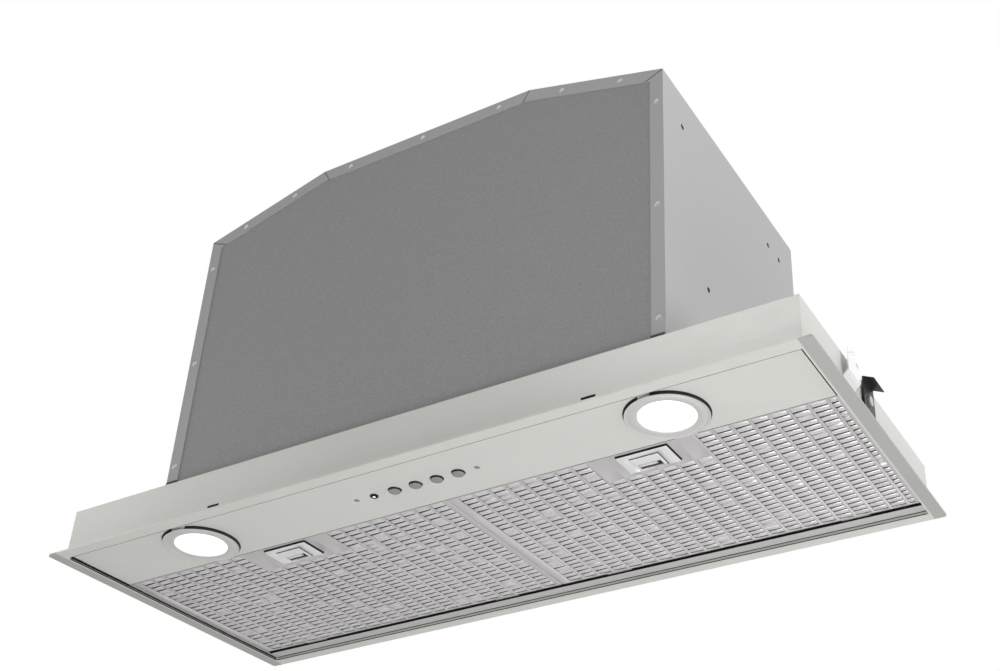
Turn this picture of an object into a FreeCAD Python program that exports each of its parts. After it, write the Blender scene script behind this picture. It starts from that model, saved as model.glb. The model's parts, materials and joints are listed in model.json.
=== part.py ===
import FreeCAD, Part
import math
import os

# Built-in extractor hood insert, millimetres, +Z up, front towards -Y.
# Origin: bottom centre of the flange's underside, which is the lowest plane of the hood.

os.makedirs("parts", exist_ok=True)
V = FreeCAD.Vector

# Canopy: flange, tray and deck, folded from one sheet
FLANGE_LENGTH = 700.0
FLANGE_DEPTH = 290.0
FLANGE_CORNER = 2.5
FLANGE_END_WIDTH = 11.0
FLANGE_FRONT_WIDTH = 10.2
CANOPY_SHEET = 0.8
HEM_WIDTH = 8.0
TRAY_HEIGHT = 44.3
DECK_LEDGE = 11.0
TAB_SPREAD = 351.0
TAB_RISE = 10.0
TAB_LENGTH = 10.0
TAB_THICKNESS = 1.2
TAB_PLAY = 1.0

# Rear ledge that carries the filters' rear tongues
LEDGE_DEPTH = 11.8
LEDGE_RISE = 3.3
LEDGE_SHEET = 0.8
LEDGE_LIP_DEPTH = 4.8
LEDGE_LIP_RISE = 0.5
LEDGE_LEG = 25.0
LEDGE_END_GAP = 0.3

# Control panel
PANEL_RISE = 2.4
PANEL_SHEET = 0.8
PANEL_DEPTH = 68.9
PANEL_FRONT_GAP = 0.1
PANEL_END_GAP = 1.4
PANEL_LIP = 13.6
BRACKET_SPREAD = 600.0
BRACKET_WIDTH = 20.0
BRACKET_FOOT = 16.0
BRACKET_SHEET = 1.0

# Row of push buttons, indicator and screws
CONTROL_SETBACK = 47.0
BUTTON_COUNT = 4
BUTTON_PITCH = 20.0
BUTTON_DIAMETER = 9.6
BUTTON_HOLE = 11.1
BUTTON_PROUD = 0.9
BUTTON_DOME = 0.7
BUTTON_COLLAR_DIAMETER = 12.4
BUTTON_COLLAR_THICKNESS = 1.2
BUTTON_STEM_DIAMETER = 6.0
BUTTON_TRAVEL = 1.5
BUTTON_PLAY = 0.3
SLIDE_CLEARANCE = 0.1
INDICATOR_DIAMETER = 5.0
INDICATOR_HOLE = 6.2
INDICATOR_COLLAR_DIAMETER = 7.0
INDICATOR_COLLAR_THICKNESS = 1.0
INDICATOR_LENGTH = 9.0
INDICATOR_RECESS = 0.3
SWITCH_SCREW_SPREAD = 114.4
SWITCH_SCREW_DIAMETER = 3.0
SWITCH_SCREW_HEAD = 4.6
SWITCH_SCREW_LENGTH = 9.0
SWITCH_SCREW_PROUD = 0.7
SWITCH_HOUSING_MARGIN = 8.0
SWITCH_HOUSING_DEPTH = 24.0
SWITCH_HOUSING_HEIGHT = 19.0

# Lamps
LAMP_SPREAD = 440.4
LAMP_SETBACK = 46.5
LAMP_BEZEL_DIAMETER = 64.8
LAMP_BEZEL_PROUD = 2.05
LAMP_LENS_DIAMETER = 44.0
LAMP_LENS_THICKNESS = 1.2
LAMP_LENS_SET_IN = 0.15
LAMP_LENS_SHOULDER = 2.0
LAMP_CAN_DIAMETER = 52.8
LAMP_CAN_HEIGHT = 27.0
LAMP_CAN_WALL = 1.2
LAMP_SPIGOT_WALL = 1.5
LAMP_SPIGOT_HEIGHT = 9.6
LAMP_FIT = 0.1
LAMP_HOLE_CLEARANCE = 0.3
LAMP_BOARD_THICKNESS = 1.6
LAMP_BOARD_RISE = 8.0
LAMP_CHIP_SIZE = 3.0
LAMP_CHIP_COUNT = 6
LAMP_CLIP_WIDTH = 12.0
LAMP_CLIP_SHEET = 0.5
LAMP_CLIP_REACH = 11.0

# Grease filters
FILTER_END_GAP = 1.2
FILTER_MIDDLE_GAP = 0.5
FILTER_SEAM_SHIFT = 4.15
FILTER_FRONT_GAP = 0.6
FILTER_REAR_GAP = 2.7
FILTER_RISE = 3.8
FILTER_THICKNESS = 10.0
FILTER_SHEET = 0.6
FILTER_RIM = 2.2
FILTER_CORNER = 2.0
FILTER_LAYER_GAP = 0.1
COLUMN_PITCH = 15.0
COLUMN_WIDTH = 12.2
COLUMN_LEAST = 4.0
COLUMN_SHIFT = 1.0
COLUMN_SLIT = 1.2
COLUMN_FRONT_MARGIN = 3.4
COLUMN_REAR_MARGIN = 3.4
COLUMN_SEAT = 1.0
COLUMN_MARGIN = 0.5
PLAIN_AREA_LENGTH = 90.0
PLAIN_AREA_DEPTH = 37.5
MESH_PITCH = 15.0
MESH_THICKNESS = 0.6
TONGUE_SPREAD = 220.0
TONGUE_WIDTH = 24.0
TONGUE_REACH = 9.5
TONGUE_THICKNESS = 1.2
TONGUE_CLEARANCE = 0.3

# Filter handle and its sliding latch
HANDLE_SHIFT_LEFT = 2.2
HANDLE_SHIFT_RIGHT = 7.0
HANDLE_LENGTH = 43.5
HANDLE_DEPTH = 26.0
HANDLE_FRONT_SETBACK = 4.6
HANDLE_PROUD = 1.6
HANDLE_PLATE = 0.8
HANDLE_SKIRT = 0.8
HANDLE_BEVEL = 0.4
PAD_LENGTH = 24.4
PAD_SHIFT = -0.7
PAD_PROUD = 0.5
PAD_FRONT_SETBACK = 6.0
PAD_SIDE_GAP = 0.5
FINGER_SLOT_LENGTH = 19.0
FINGER_SLOT_DEPTH = 6.5
FINGER_SLOT_WALL = 1.0
LATCH_TRAVEL = 1.5
LATCH_PLATE = 0.7
LATCH_PLATE_MARGIN = 2.0
LATCH_TONGUE_WIDTH = 12.0
LATCH_TONGUE_THICKNESS = 0.8
LATCH_TONGUE_RISE = 3.5
LATCH_TONGUE_REACH = 0.3
LATCH_LEG_HEIGHT = 7.0
LATCH_LEG_SETBACK = 8.6
LATCH_LEG_SHEET = 1.0
LATCH_PLAY = 0.3
LATCH_WELL_LENGTH = 20.4
SPRING_DIAMETER = 4.0
SPRING_WIRE = 0.5
SPRING_LENGTH = 7.8
SPRING_TURNS = 5
SPRING_SEAT_WIDTH = 8.0
SPRING_SEAT_SHEET = 0.8

# Housing above the tray
HOUSING_LENGTH = 474.0
HOUSING_SETBACK = 2.3
HOUSING_HEIGHT = 295.5
HOUSING_SHOULDER = 35.1
HOUSING_TOP_LENGTH = 220.0
HOUSING_SHEET = 0.8
HOUSING_LIP = 11.8
MITRE_GAP = 1.2
MITRE_TILT = 24.0
MITRE_TOP_TILT = 60.0
HOUSING_PANEL_GAP = 0.2
RIVET_DIAMETER = 3.2
RIVET_HEAD = 5.0
RIVET_HEAD_HEIGHT = 1.2
RIVET_TAIL = 0.9
RIVET_TOP_PITCH = 79.5
RIVET_END_RISE = 18.2
RIVET_END_DROP = 32.7
RIVET_SHOULDER_END = 34.5
RIVET_FIT = 0.05
SIDE_HOLE_DIAMETER = 5.0
SIDE_HOLE_DROP = 34.4
SIDE_HOLE_FRONT = 34.4
SIDE_HOLE_REAR = 33.1
SIDE_HOLE_PAIR_PITCH = 24.6
SIDE_HOLE_LOW_RISE = 89.6
SIDE_HOLE_LOW_FRONT = 75.4
FOOT_LENGTH = 11.0
FOOT_HEIGHT = 3.2
FOOT_SHEET = 1.0
FOOT_REACH = 1.9
FOOT_PLATE = 0.6

# Outlet collar with its two back-draught flaps
DUCT_DIAMETER = 149.5
COLLAR_WALL = 1.5
COLLAR_HEIGHT = 60.0
COLLAR_PLATE = 190.0
COLLAR_PLATE_THICKNESS = 3.0
COLLAR_STOP_WIDTH = 3.75
COLLAR_STOP_THICKNESS = 1.7
FLAP_RISE = 15.2
FLAP_THICKNESS = 1.2
FLAP_GAP = 0.65
FLAP_SEAT_GAP = 0.3
FLAP_KNUCKLE_DIAMETER = 7.0
FLAP_KNUCKLE_COUNT = 5
FLAP_KNUCKLE_GAP = 0.3
FLAP_KNUCKLE_END_GAP = 0.6
FLAP_EDGE_GAP = 0.7
PIN_DIAMETER = 4.0
PIN_RUNNING_CLEARANCE = 0.05
PIN_END_DEPTH = 0.65
OUTLET_SCREW_SPACING = 164.0
OUTLET_SCREW_DIAMETER = 4.0
OUTLET_SCREW_HEAD = 8.0
OUTLET_SCREW_HEAD_HEIGHT = 2.4
OUTLET_SCREW_TAIL = 4.0
SCREW_FIT = 0.05

# Blower: adapter, scroll, impeller and motor
ADAPTER_HEIGHT = 54.0
ADAPTER_WALL = 1.2
ADAPTER_PLATE = 180.0
ADAPTER_RIM = 8.0
ADAPTER_THROAT_INSET = 3.25
SCROLL_WIDTH = 112.0
SCROLL_WALL = 1.2
SCROLL_RADIUS = 72.0
SCROLL_STEP = 9.0
SCROLL_CHANNEL_HEIGHT = 110.0
SCROLL_SETBACK = 12.0
SCROLL_TONGUE_SHIFT = 5.5
SCROLL_FLANGE = 6.0
SCROLL_INLET_DIAMETER = 116.0
SCROLL_INLET_LIP = 4.0
IMPELLER_DIAMETER = 126.0
IMPELLER_LENGTH = 100.0
IMPELLER_RIM = 13.0
IMPELLER_RIM_THICKNESS = 2.0
IMPELLER_DISC_THICKNESS = 2.0
IMPELLER_BLADE_COUNT = 36
IMPELLER_BLADE_THICKNESS = 0.8
IMPELLER_BLADE_SWEEP = 8.0
IMPELLER_BLADE_BOW = 2.0
IMPELLER_HUB_DIAMETER = 24.0
IMPELLER_HUB_LENGTH = 26.0
SHAFT_DIAMETER = 8.0
SHAFT_FIT = 0.03
SHAFT_RUNNING_CLEARANCE = 0.05
MOTOR_DIAMETER = 88.0
MOTOR_LENGTH = 64.0
MOTOR_INLET_GAP = 8.0
MOTOR_BOSS_DIAMETER = 20.0
MOTOR_BOSS_LENGTH = 3.5
MOTOR_CAP_STEP = 4.0
MOTOR_END_WALL = 3.0
BRACKET_RING_WALL = 3.9
BRACKET_RING_LENGTH = 16.0
BRACKET_ARM_COUNT = 3
BRACKET_ARM_START = 90.0
BRACKET_ARM_WIDTH = 14.0
BRACKET_ARM_SHEET = 2.0
BRACKET_ARM_RADIUS = 70.0
BRACKET_ARM_FOOT = 6.0
MOTOR_FIT = 0.1

# Electrical parts inside the housing
ELECTRONICS_DEPTH = 40.0
ELECTRONICS_LENGTH = 120.0
ELECTRONICS_HEIGHT = 110.0
ELECTRONICS_WALL = 1.5
ELECTRONICS_RISE = 105.0
BOARD_THICKNESS = 1.6
BOARD_GAP = 1.0
BOARD_STANDOFF = 8.0
BOARD_STANDOFF_DIAMETER = 6.0
BOARD_STANDOFF_INSET = 10.0
RELAY_SIZE = 15.0
RELAY_HEIGHT = 12.0
RELAY_COUNT = 3
CAPACITOR_DIAMETER = 34.0
CAPACITOR_LENGTH = 50.0
CAPACITOR_DROP = 35.0
GLAND_BORE = 9.0
GLAND_THREAD = 16.0
GLAND_HEX = 22.0
GLAND_DOME_DIAMETER = 19.0
GLAND_HEX_HEIGHT = 10.0
GLAND_DOME_HEIGHT = 10.0
GLAND_NUT_HEIGHT = 5.0
GLAND_SIDE = 80.0

# Spring clips and catch plates on the tray's end walls
CLIP_SETBACK = 127.4
CLIP_WIDTH = 22.6
CLIP_SHEET = 0.8
CLIP_STANDOFF = 1.6
CLIP_BOTTOM_RISE = 12.0
CLIP_TOP_RISE = 0.4
CLIP_PAD_DIAMETER = 12.0
CLIP_SCREW_DIAMETER = 4.0
CLIP_SCREW_HEAD = 8.0
CLIP_SCREW_HEAD_HEIGHT = 1.6
CLIP_SCREW_RISE = 28.5
CLIP_SCREW_TAIL = 4.0
CLIP_FLAP_LENGTH = 8.6
CLIP_FLAP_SHEET = 0.6
CLIP_FLAP_ANGLE = 25.0
CLIP_FLAP_ROLL = 1.0
CLIP_FLAP_GAP = 0.1
CATCH_SETBACK = 88.0
CATCH_WIDTH = 24.0
CATCH_SHEET = 1.0
CATCH_STANDOFF = 4.4
CATCH_FOOT_RISE = 10.0
CATCH_FOOT_HEIGHT = 14.0
CATCH_BEND = 4.0
CATCH_TOP_RISE = 0.7
CATCH_SLIT_SETBACK = 17.0
CATCH_SLIT_WIDTH = 4.0
CATCH_SLIT_RISE = 39.0
CATCH_SLIT_HEIGHT = 3.0
CATCH_HOOK_WIDTH = 5.0
CATCH_HOOK_REACH = 2.2

# A cut that has to pass right through a wall runs on past it by this much
PAST = 1.0

# Planes and places worked out from the sizes above
tray_x = FLANGE_LENGTH / 2 - FLANGE_END_WIDTH
tray_y = FLANGE_DEPTH / 2 - FLANGE_FRONT_WIDTH
inside_x = tray_x - CANOPY_SHEET
inside_y = tray_y - CANOPY_SHEET
deck_z = TRAY_HEIGHT - CANOPY_SHEET
front_y = -FLANGE_DEPTH / 2

panel_x = inside_x - PANEL_END_GAP
panel_front = -inside_y + PANEL_FRONT_GAP
panel_rear = panel_front + PANEL_DEPTH
panel_top = PANEL_RISE + PANEL_SHEET
control_y = front_y + CONTROL_SETBACK
lamp_y = front_y + LAMP_SETBACK
first_button_x = -BUTTON_PITCH * (BUTTON_COUNT - 2) / 2
indicator_x = first_button_x - BUTTON_PITCH

ledge_front = inside_y - LEDGE_DEPTH
ledge_lip_top = LEDGE_RISE + LEDGE_LIP_RISE + LEDGE_SHEET
nose_y = ledge_front + LEDGE_SHEET / 2
filter_front = panel_rear + FILTER_FRONT_GAP
filter_rear = ledge_front - FILTER_REAR_GAP
filter_top = FILTER_RISE + FILTER_THICKNESS
filter_end = inside_x - FILTER_END_GAP
seam_left = FILTER_SEAM_SHIFT - FILTER_MIDDLE_GAP / 2
seam_right = FILTER_SEAM_SHIFT + FILTER_MIDDLE_GAP / 2
sheet_top = FILTER_RISE + FILTER_SHEET
strip_top = sheet_top + FILTER_SHEET
back_sheet_z = filter_top - 2 * FILTER_SHEET
tongue_z = ledge_lip_top + TONGUE_CLEARANCE

housing_x = HOUSING_LENGTH / 2
housing_y = tray_y - HOUSING_SETBACK
housing_top = TRAY_HEIGHT + HOUSING_HEIGHT
shoulder_z = housing_top - HOUSING_SHOULDER
top_x = HOUSING_TOP_LENGTH / 2
inner_top = housing_top - HOUSING_SHEET
wall_x = housing_x - HOUSING_SHEET
panel_face_y = housing_y - HOUSING_SHEET

duct_radius = DUCT_DIAMETER / 2
throat_radius = duct_radius - COLLAR_WALL
collar_top = housing_top + COLLAR_HEIGHT
plate_top = housing_top + COLLAR_PLATE_THICKNESS
pin_z = housing_top + FLAP_RISE
flap_stop_z = pin_z - FLAP_THICKNESS / 2 - FLAP_SEAT_GAP
adapter_radius = throat_radius - ADAPTER_THROAT_INSET

channel_top = inner_top - ADAPTER_HEIGHT
blower_y = -SCROLL_SETBACK
blower_z = channel_top - SCROLL_CHANNEL_HEIGHT
scroll_x = SCROLL_WIDTH / 2
channel_front = blower_y - SCROLL_TONGUE_SHIFT
channel_rear = blower_y + SCROLL_STEP / 2 + SCROLL_RADIUS + 2 * SCROLL_STEP
motor_front = -scroll_x - MOTOR_INLET_GAP
motor_rear = motor_front - MOTOR_LENGTH


def box(x0, x1, y0, y1, z0, z1):
    """Block between two opposite corners, in whichever order each pair comes."""
    low = V(min(x0, x1), min(y0, y1), min(z0, z1))
    return Part.makeBox(abs(x1 - x0), abs(y1 - y0), abs(z1 - z0), low)


def cylinder_z(x, y, radius, z0, z1):
    return Part.makeCylinder(radius, z1 - z0, V(x, y, z0), V(0, 0, 1))


def cylinder_y(x, z, radius, y0, y1):
    return Part.makeCylinder(radius, y1 - y0, V(x, y0, z), V(0, 1, 0))


def cylinder_x(y, z, radius, x0, x1):
    return Part.makeCylinder(radius, x1 - x0, V(x0, y, z), V(1, 0, 0))


def join(shapes):
    """One solid from several that touch or overlap."""
    return shapes[0].multiFuse(shapes[1:]).removeSplitter()


def polygon(points):
    return Part.Face(Part.makePolygon(points + points[:1]))


def sheet_along_y(section, y0, y1):
    """Section in X and Z, drawn out from y0 to y1."""
    return polygon([V(x, y0, z) for x, z in section]).extrude(V(0, y1 - y0, 0))


def sheet_along_x(section, x0, x1):
    """Section in Y and Z, drawn out from x0 to x1."""
    return polygon([V(x0, y, z) for y, z in section]).extrude(V(x1 - x0, 0, 0))


def rounded_plate(x0, x1, y0, y1, z0, z1, radius):
    plate = box(x0, x1, y0, y1, z0, z1)
    upright = [edge for edge in plate.Edges if edge.BoundBox.ZLength > (z1 - z0) / 2]
    return plate.makeFillet(radius, upright)


def domed_disc(x, y, radius, flat_z, height):
    """Low dome under the plane flat_z, bulging downwards."""
    sphere_radius = (radius ** 2 + height ** 2) / (2 * height)
    crown = V(0, 0, -height)
    waist = V(radius / 2, 0, -height + sphere_radius - math.sqrt(sphere_radius ** 2 - radius ** 2 / 4))
    rim = V(radius, 0, 0)
    edges = [Part.Arc(crown, waist, rim).toShape(), Part.makeLine(rim, V(0, 0, 0)),
             Part.makeLine(V(0, 0, 0), crown)]
    dome = Part.Face(Part.Wire(edges)).revolve(V(0, 0, 0), V(0, 0, 1), 360)
    dome.translate(V(x, y, flat_z))
    return dome


def screw_up(x, y, head_radius, head_z, shank_radius, shank_top):
    """Pan-head screw driven upwards, its head's flat side at head_z."""
    head = domed_disc(x, y, head_radius, head_z, SWITCH_SCREW_PROUD)
    return join([head, cylinder_z(x, y, shank_radius, head_z, shank_top)])


# Canopy

def canopy_shell():
    flange = rounded_plate(-FLANGE_LENGTH / 2, FLANGE_LENGTH / 2, front_y, -front_y,
                           0, 2 * CANOPY_SHEET, FLANGE_CORNER)
    hem_x = FLANGE_LENGTH / 2 - HEM_WIDTH
    hem_y = FLANGE_DEPTH / 2 - HEM_WIDTH
    above_flange = box(-hem_x, hem_x, -hem_y, hem_y, CANOPY_SHEET, 2 * CANOPY_SHEET)
    body = join([flange.cut(above_flange), box(-tray_x, tray_x, -tray_y, tray_y, 0, TRAY_HEIGHT)])
    hollow = box(-inside_x, inside_x, -inside_y, inside_y, -PAST, deck_z)
    opening_x = housing_x - DECK_LEDGE
    opening_y = housing_y - DECK_LEDGE
    opening = box(-opening_x, opening_x, -opening_y, opening_y, deck_z - PAST, TRAY_HEIGHT + PAST)
    cuts = [hollow, opening]
    for x in (-TAB_SPREAD / 2, TAB_SPREAD / 2):
        half = TAB_LENGTH / 2 + TAB_PLAY
        reach = (TAB_THICKNESS / 2 + TAB_PLAY / 2)
        cuts.append(box(x - half, x + half, -tray_y - PAST, -inside_y + PAST / 2,
                        TAB_RISE - reach, TAB_RISE + reach))
    cuts.append(clip_screw_line(CLIP_SCREW_DIAMETER / 2 + SCREW_FIT, tray_x + PAST))
    return body.cut(cuts)


def clip_screw_line(radius, reach):
    """Rod through both end walls at the clips' screws, for their holes."""
    y = front_y + CLIP_SETBACK + CLIP_WIDTH / 2
    return cylinder_x(y, CLIP_SCREW_RISE, radius, -reach, reach)


def rear_ledge():
    top = LEDGE_RISE + LEDGE_SHEET
    bend = ledge_front + LEDGE_LIP_DEPTH
    leg = inside_y - LEDGE_SHEET
    section = [(inside_y, LEDGE_RISE), (bend, LEDGE_RISE), (nose_y, LEDGE_RISE + LEDGE_LIP_RISE),
               (nose_y, ledge_lip_top), (bend, top), (leg, top),
               (leg, top + LEDGE_LEG), (inside_y, top + LEDGE_LEG)]
    end = inside_x - LEDGE_END_GAP
    nose = cylinder_x(nose_y, ledge_lip_top - LEDGE_SHEET / 2, LEDGE_SHEET / 2, -end, end)
    return join([sheet_along_x(section, -end, end), nose])


# Control panel and what it carries

def control_panel():
    pan = box(-panel_x, panel_x, panel_front, panel_rear, PANEL_RISE, PANEL_RISE + PANEL_LIP)
    pan = pan.cut(box(-panel_x + PANEL_SHEET, panel_x - PANEL_SHEET, panel_front + PANEL_SHEET,
                      panel_rear - PANEL_SHEET, panel_top, PANEL_RISE + PANEL_LIP + PAST))
    tabs = []
    for x in (-TAB_SPREAD / 2, TAB_SPREAD / 2):
        tabs.append(box(x - TAB_LENGTH / 2, x + TAB_LENGTH / 2, -tray_y + PANEL_FRONT_GAP,
                        panel_front + PANEL_SHEET, TAB_RISE - TAB_THICKNESS / 2,
                        TAB_RISE + TAB_THICKNESS / 2))
    low, high = PANEL_RISE - PAST, panel_top + PAST
    cuts = []
    for x in (-LAMP_SPREAD / 2, LAMP_SPREAD / 2):
        cuts.append(cylinder_z(x, lamp_y, lamp_spigot_radius() + LAMP_HOLE_CLEARANCE, low, high))
    for x in button_places():
        cuts.append(cylinder_z(x, control_y, BUTTON_HOLE / 2, low, high))
    cuts.append(cylinder_z(indicator_x, control_y, INDICATOR_HOLE / 2, low, high))
    for x in (-SWITCH_SCREW_SPREAD / 2, SWITCH_SCREW_SPREAD / 2):
        cuts.append(cylinder_z(x, control_y, SWITCH_SCREW_DIAMETER / 2 + SCREW_FIT, low, high))
    return join([pan] + tabs).cut(cuts)


def button_places():
    return [first_button_x + BUTTON_PITCH * number for number in range(BUTTON_COUNT)]


def panel_bracket(side):
    """Z-shaped strap from the panel's top up to the deck's underside."""
    x = side * BRACKET_SPREAD / 2
    inner = x - side * BRACKET_SHEET
    middle = (panel_front + panel_rear) / 2
    y0, y1 = middle - BRACKET_WIDTH / 2, middle + BRACKET_WIDTH / 2
    foot = box(x, x - side * BRACKET_FOOT, y0, y1, panel_top, panel_top + BRACKET_SHEET)
    web = box(x, inner, y0, y1, panel_top, deck_z)
    head = box(inner, x + side * BRACKET_FOOT, y0, y1, deck_z - BRACKET_SHEET, deck_z)
    return join([foot, web, head])


def switch_housing():
    """Block above the panel that guides the buttons and holds the indicator."""
    half = SWITCH_SCREW_SPREAD / 2 + SWITCH_HOUSING_MARGIN
    top = panel_top + SWITCH_HOUSING_HEIGHT
    block = box(-half, half, control_y - SWITCH_HOUSING_DEPTH / 2, control_y + SWITCH_HOUSING_DEPTH / 2,
                panel_top, top)
    chamber_top = (panel_top + BUTTON_PLAY + BUTTON_COLLAR_THICKNESS + BUTTON_TRAVEL + 2 * BUTTON_PLAY)
    cuts = []
    for x in button_places():
        cuts.append(cylinder_z(x, control_y, BUTTON_COLLAR_DIAMETER / 2 + BUTTON_PLAY,
                               panel_top - PAST, chamber_top))
        cuts.append(cylinder_z(x, control_y, BUTTON_STEM_DIAMETER / 2 + SLIDE_CLEARANCE,
                               panel_top, top + PAST))
    collar_top_z = panel_top + INDICATOR_COLLAR_THICKNESS + SCREW_FIT
    cuts.append(cylinder_z(indicator_x, control_y, INDICATOR_COLLAR_DIAMETER / 2 + SCREW_FIT,
                           panel_top - PAST, collar_top_z))
    cuts.append(cylinder_z(indicator_x, control_y, INDICATOR_DIAMETER / 2 + SCREW_FIT,
                           panel_top, panel_top + INDICATOR_LENGTH + PAST))
    for x in (-SWITCH_SCREW_SPREAD / 2, SWITCH_SCREW_SPREAD / 2):
        cuts.append(cylinder_z(x, control_y, SWITCH_SCREW_DIAMETER / 2 + SCREW_FIT,
                               panel_top - PAST, PANEL_RISE + SWITCH_SCREW_LENGTH + SCREW_FIT))
    return block.cut(cuts)


def button(x):
    """Domed cap below the panel, collar above it, stem up into the switch block."""
    collar_z = panel_top + BUTTON_PLAY
    cap_z = PANEL_RISE - BUTTON_PROUD + BUTTON_DOME
    stem_top = panel_top + SWITCH_HOUSING_HEIGHT - BUTTON_TRAVEL - BUTTON_PLAY
    return join([domed_disc(x, control_y, BUTTON_DIAMETER / 2, cap_z, BUTTON_DOME),
                 cylinder_z(x, control_y, BUTTON_DIAMETER / 2, cap_z, collar_z),
                 cylinder_z(x, control_y, BUTTON_COLLAR_DIAMETER / 2, collar_z,
                            collar_z + BUTTON_COLLAR_THICKNESS),
                 cylinder_z(x, control_y, BUTTON_STEM_DIAMETER / 2, collar_z, stem_top)])


def indicator_lens():
    radius = INDICATOR_DIAMETER / 2
    dome_z = PANEL_RISE + INDICATOR_RECESS + radius / 2
    return join([domed_disc(indicator_x, control_y, radius, dome_z, radius / 2),
                 cylinder_z(indicator_x, control_y, radius, dome_z, panel_top + INDICATOR_LENGTH),
                 cylinder_z(indicator_x, control_y, INDICATOR_COLLAR_DIAMETER / 2, panel_top,
                            panel_top + INDICATOR_COLLAR_THICKNESS)])


def switch_screws():
    return [screw_up(x, control_y, SWITCH_SCREW_HEAD / 2, PANEL_RISE, SWITCH_SCREW_DIAMETER / 2,
                     PANEL_RISE + SWITCH_SCREW_LENGTH)
            for x in (-SWITCH_SCREW_SPREAD / 2, SWITCH_SCREW_SPREAD / 2)]


# Lamps

def lamp_spigot_radius():
    return LAMP_CAN_DIAMETER / 2 + LAMP_FIT + LAMP_SPIGOT_WALL


def lamp_lens_levels():
    """Bottom of the lens, top of its disc and top of its shoulder."""
    bottom = PANEL_RISE - LAMP_BEZEL_PROUD + LAMP_LENS_SET_IN
    return bottom, bottom + LAMP_LENS_THICKNESS, bottom + 2 * LAMP_LENS_THICKNESS


def lamp_bezel(x):
    """Ring under the panel, with a spigot that passes up through the panel's hole."""
    bottom, step, top = lamp_lens_levels()
    face = PANEL_RISE - LAMP_BEZEL_PROUD
    lens_radius = LAMP_LENS_DIAMETER / 2
    disc = cylinder_z(x, lamp_y, LAMP_BEZEL_DIAMETER / 2, face, PANEL_RISE)
    spigot = cylinder_z(x, lamp_y, lamp_spigot_radius(), PANEL_RISE, panel_top + LAMP_SPIGOT_HEIGHT)
    window = cylinder_z(x, lamp_y, lens_radius + LAMP_FIT, face - PAST, step)
    seat = cylinder_z(x, lamp_y, lens_radius + LAMP_LENS_SHOULDER + LAMP_FIT, step, top)
    bore = cylinder_z(x, lamp_y, LAMP_CAN_DIAMETER / 2 + LAMP_FIT, top,
                      panel_top + LAMP_SPIGOT_HEIGHT + PAST)
    return join([disc, spigot]).cut([window, seat, bore])


def lamp_lens(x):
    bottom, step, top = lamp_lens_levels()
    lens_radius = LAMP_LENS_DIAMETER / 2
    return join([cylinder_z(x, lamp_y, lens_radius, bottom, step),
                 cylinder_z(x, lamp_y, lens_radius + LAMP_LENS_SHOULDER, step, top)])


def lamp_can(x):
    """Closed can that holds the light board and clamps the lens from above."""
    bottom = lamp_lens_levels()[2]
    radius = LAMP_CAN_DIAMETER / 2
    can = cylinder_z(x, lamp_y, radius, bottom, bottom + LAMP_CAN_HEIGHT)
    hollow = cylinder_z(x, lamp_y, radius - LAMP_CAN_WALL, bottom - PAST,
                        bottom + LAMP_CAN_HEIGHT - LAMP_CAN_WALL)
    shelf = cylinder_z(x, lamp_y, radius - LAMP_CAN_WALL / 2, bottom + LAMP_BOARD_RISE + LAMP_BOARD_THICKNESS,
                       bottom + LAMP_BOARD_RISE + 2 * LAMP_BOARD_THICKNESS)
    ring = shelf.cut(cylinder_z(x, lamp_y, radius - 2 * LAMP_CAN_WALL, bottom, bottom + LAMP_CAN_HEIGHT))
    return join([can.cut(hollow), ring])


def lamp_board(x):
    """Round board with a ring of light chips on its underside."""
    bottom = lamp_lens_levels()[2] + LAMP_BOARD_RISE
    radius = LAMP_CAN_DIAMETER / 2 - LAMP_CAN_WALL - LAMP_FIT
    pieces = [cylinder_z(x, lamp_y, radius, bottom, bottom + LAMP_BOARD_THICKNESS)]
    half = LAMP_CHIP_SIZE / 2
    for number in range(LAMP_CHIP_COUNT):
        angle = 2 * math.pi * number / LAMP_CHIP_COUNT
        cx = x + radius / 2 * math.cos(angle)
        cy = lamp_y + radius / 2 * math.sin(angle)
        pieces.append(box(cx - half, cx + half, cy - half, cy + half,
                          bottom - LAMP_CHIP_SIZE / 3, bottom))
    return join(pieces)


def lamp_clip(x, side):
    """Bent leaf from the can's wall out and down onto the panel."""
    root = x + side * LAMP_CAN_DIAMETER / 2
    knee = root + side * LAMP_CLIP_REACH * 0.7
    toe = root + side * LAMP_CLIP_REACH
    low = panel_top + LAMP_SPIGOT_HEIGHT + LAMP_CLIP_SHEET
    high = lamp_lens_levels()[2] + LAMP_CAN_HEIGHT - LAMP_CAN_WALL
    bend = (low + high) / 2
    out = side * LAMP_CLIP_SHEET
    section = [(root, low), (root, bend), (knee, high), (toe, panel_top), (toe - out, panel_top),
               (knee, high - 3 * LAMP_CLIP_SHEET), (root + out, bend - LAMP_CLIP_SHEET), (root + out, low)]
    leaf = sheet_along_y(section, lamp_y - LAMP_CLIP_WIDTH / 2, lamp_y + LAMP_CLIP_WIDTH / 2)
    return leaf.cut(cylinder_z(x, lamp_y, LAMP_CAN_DIAMETER / 2, panel_top, high + PAST))


# Grease filters

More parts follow.
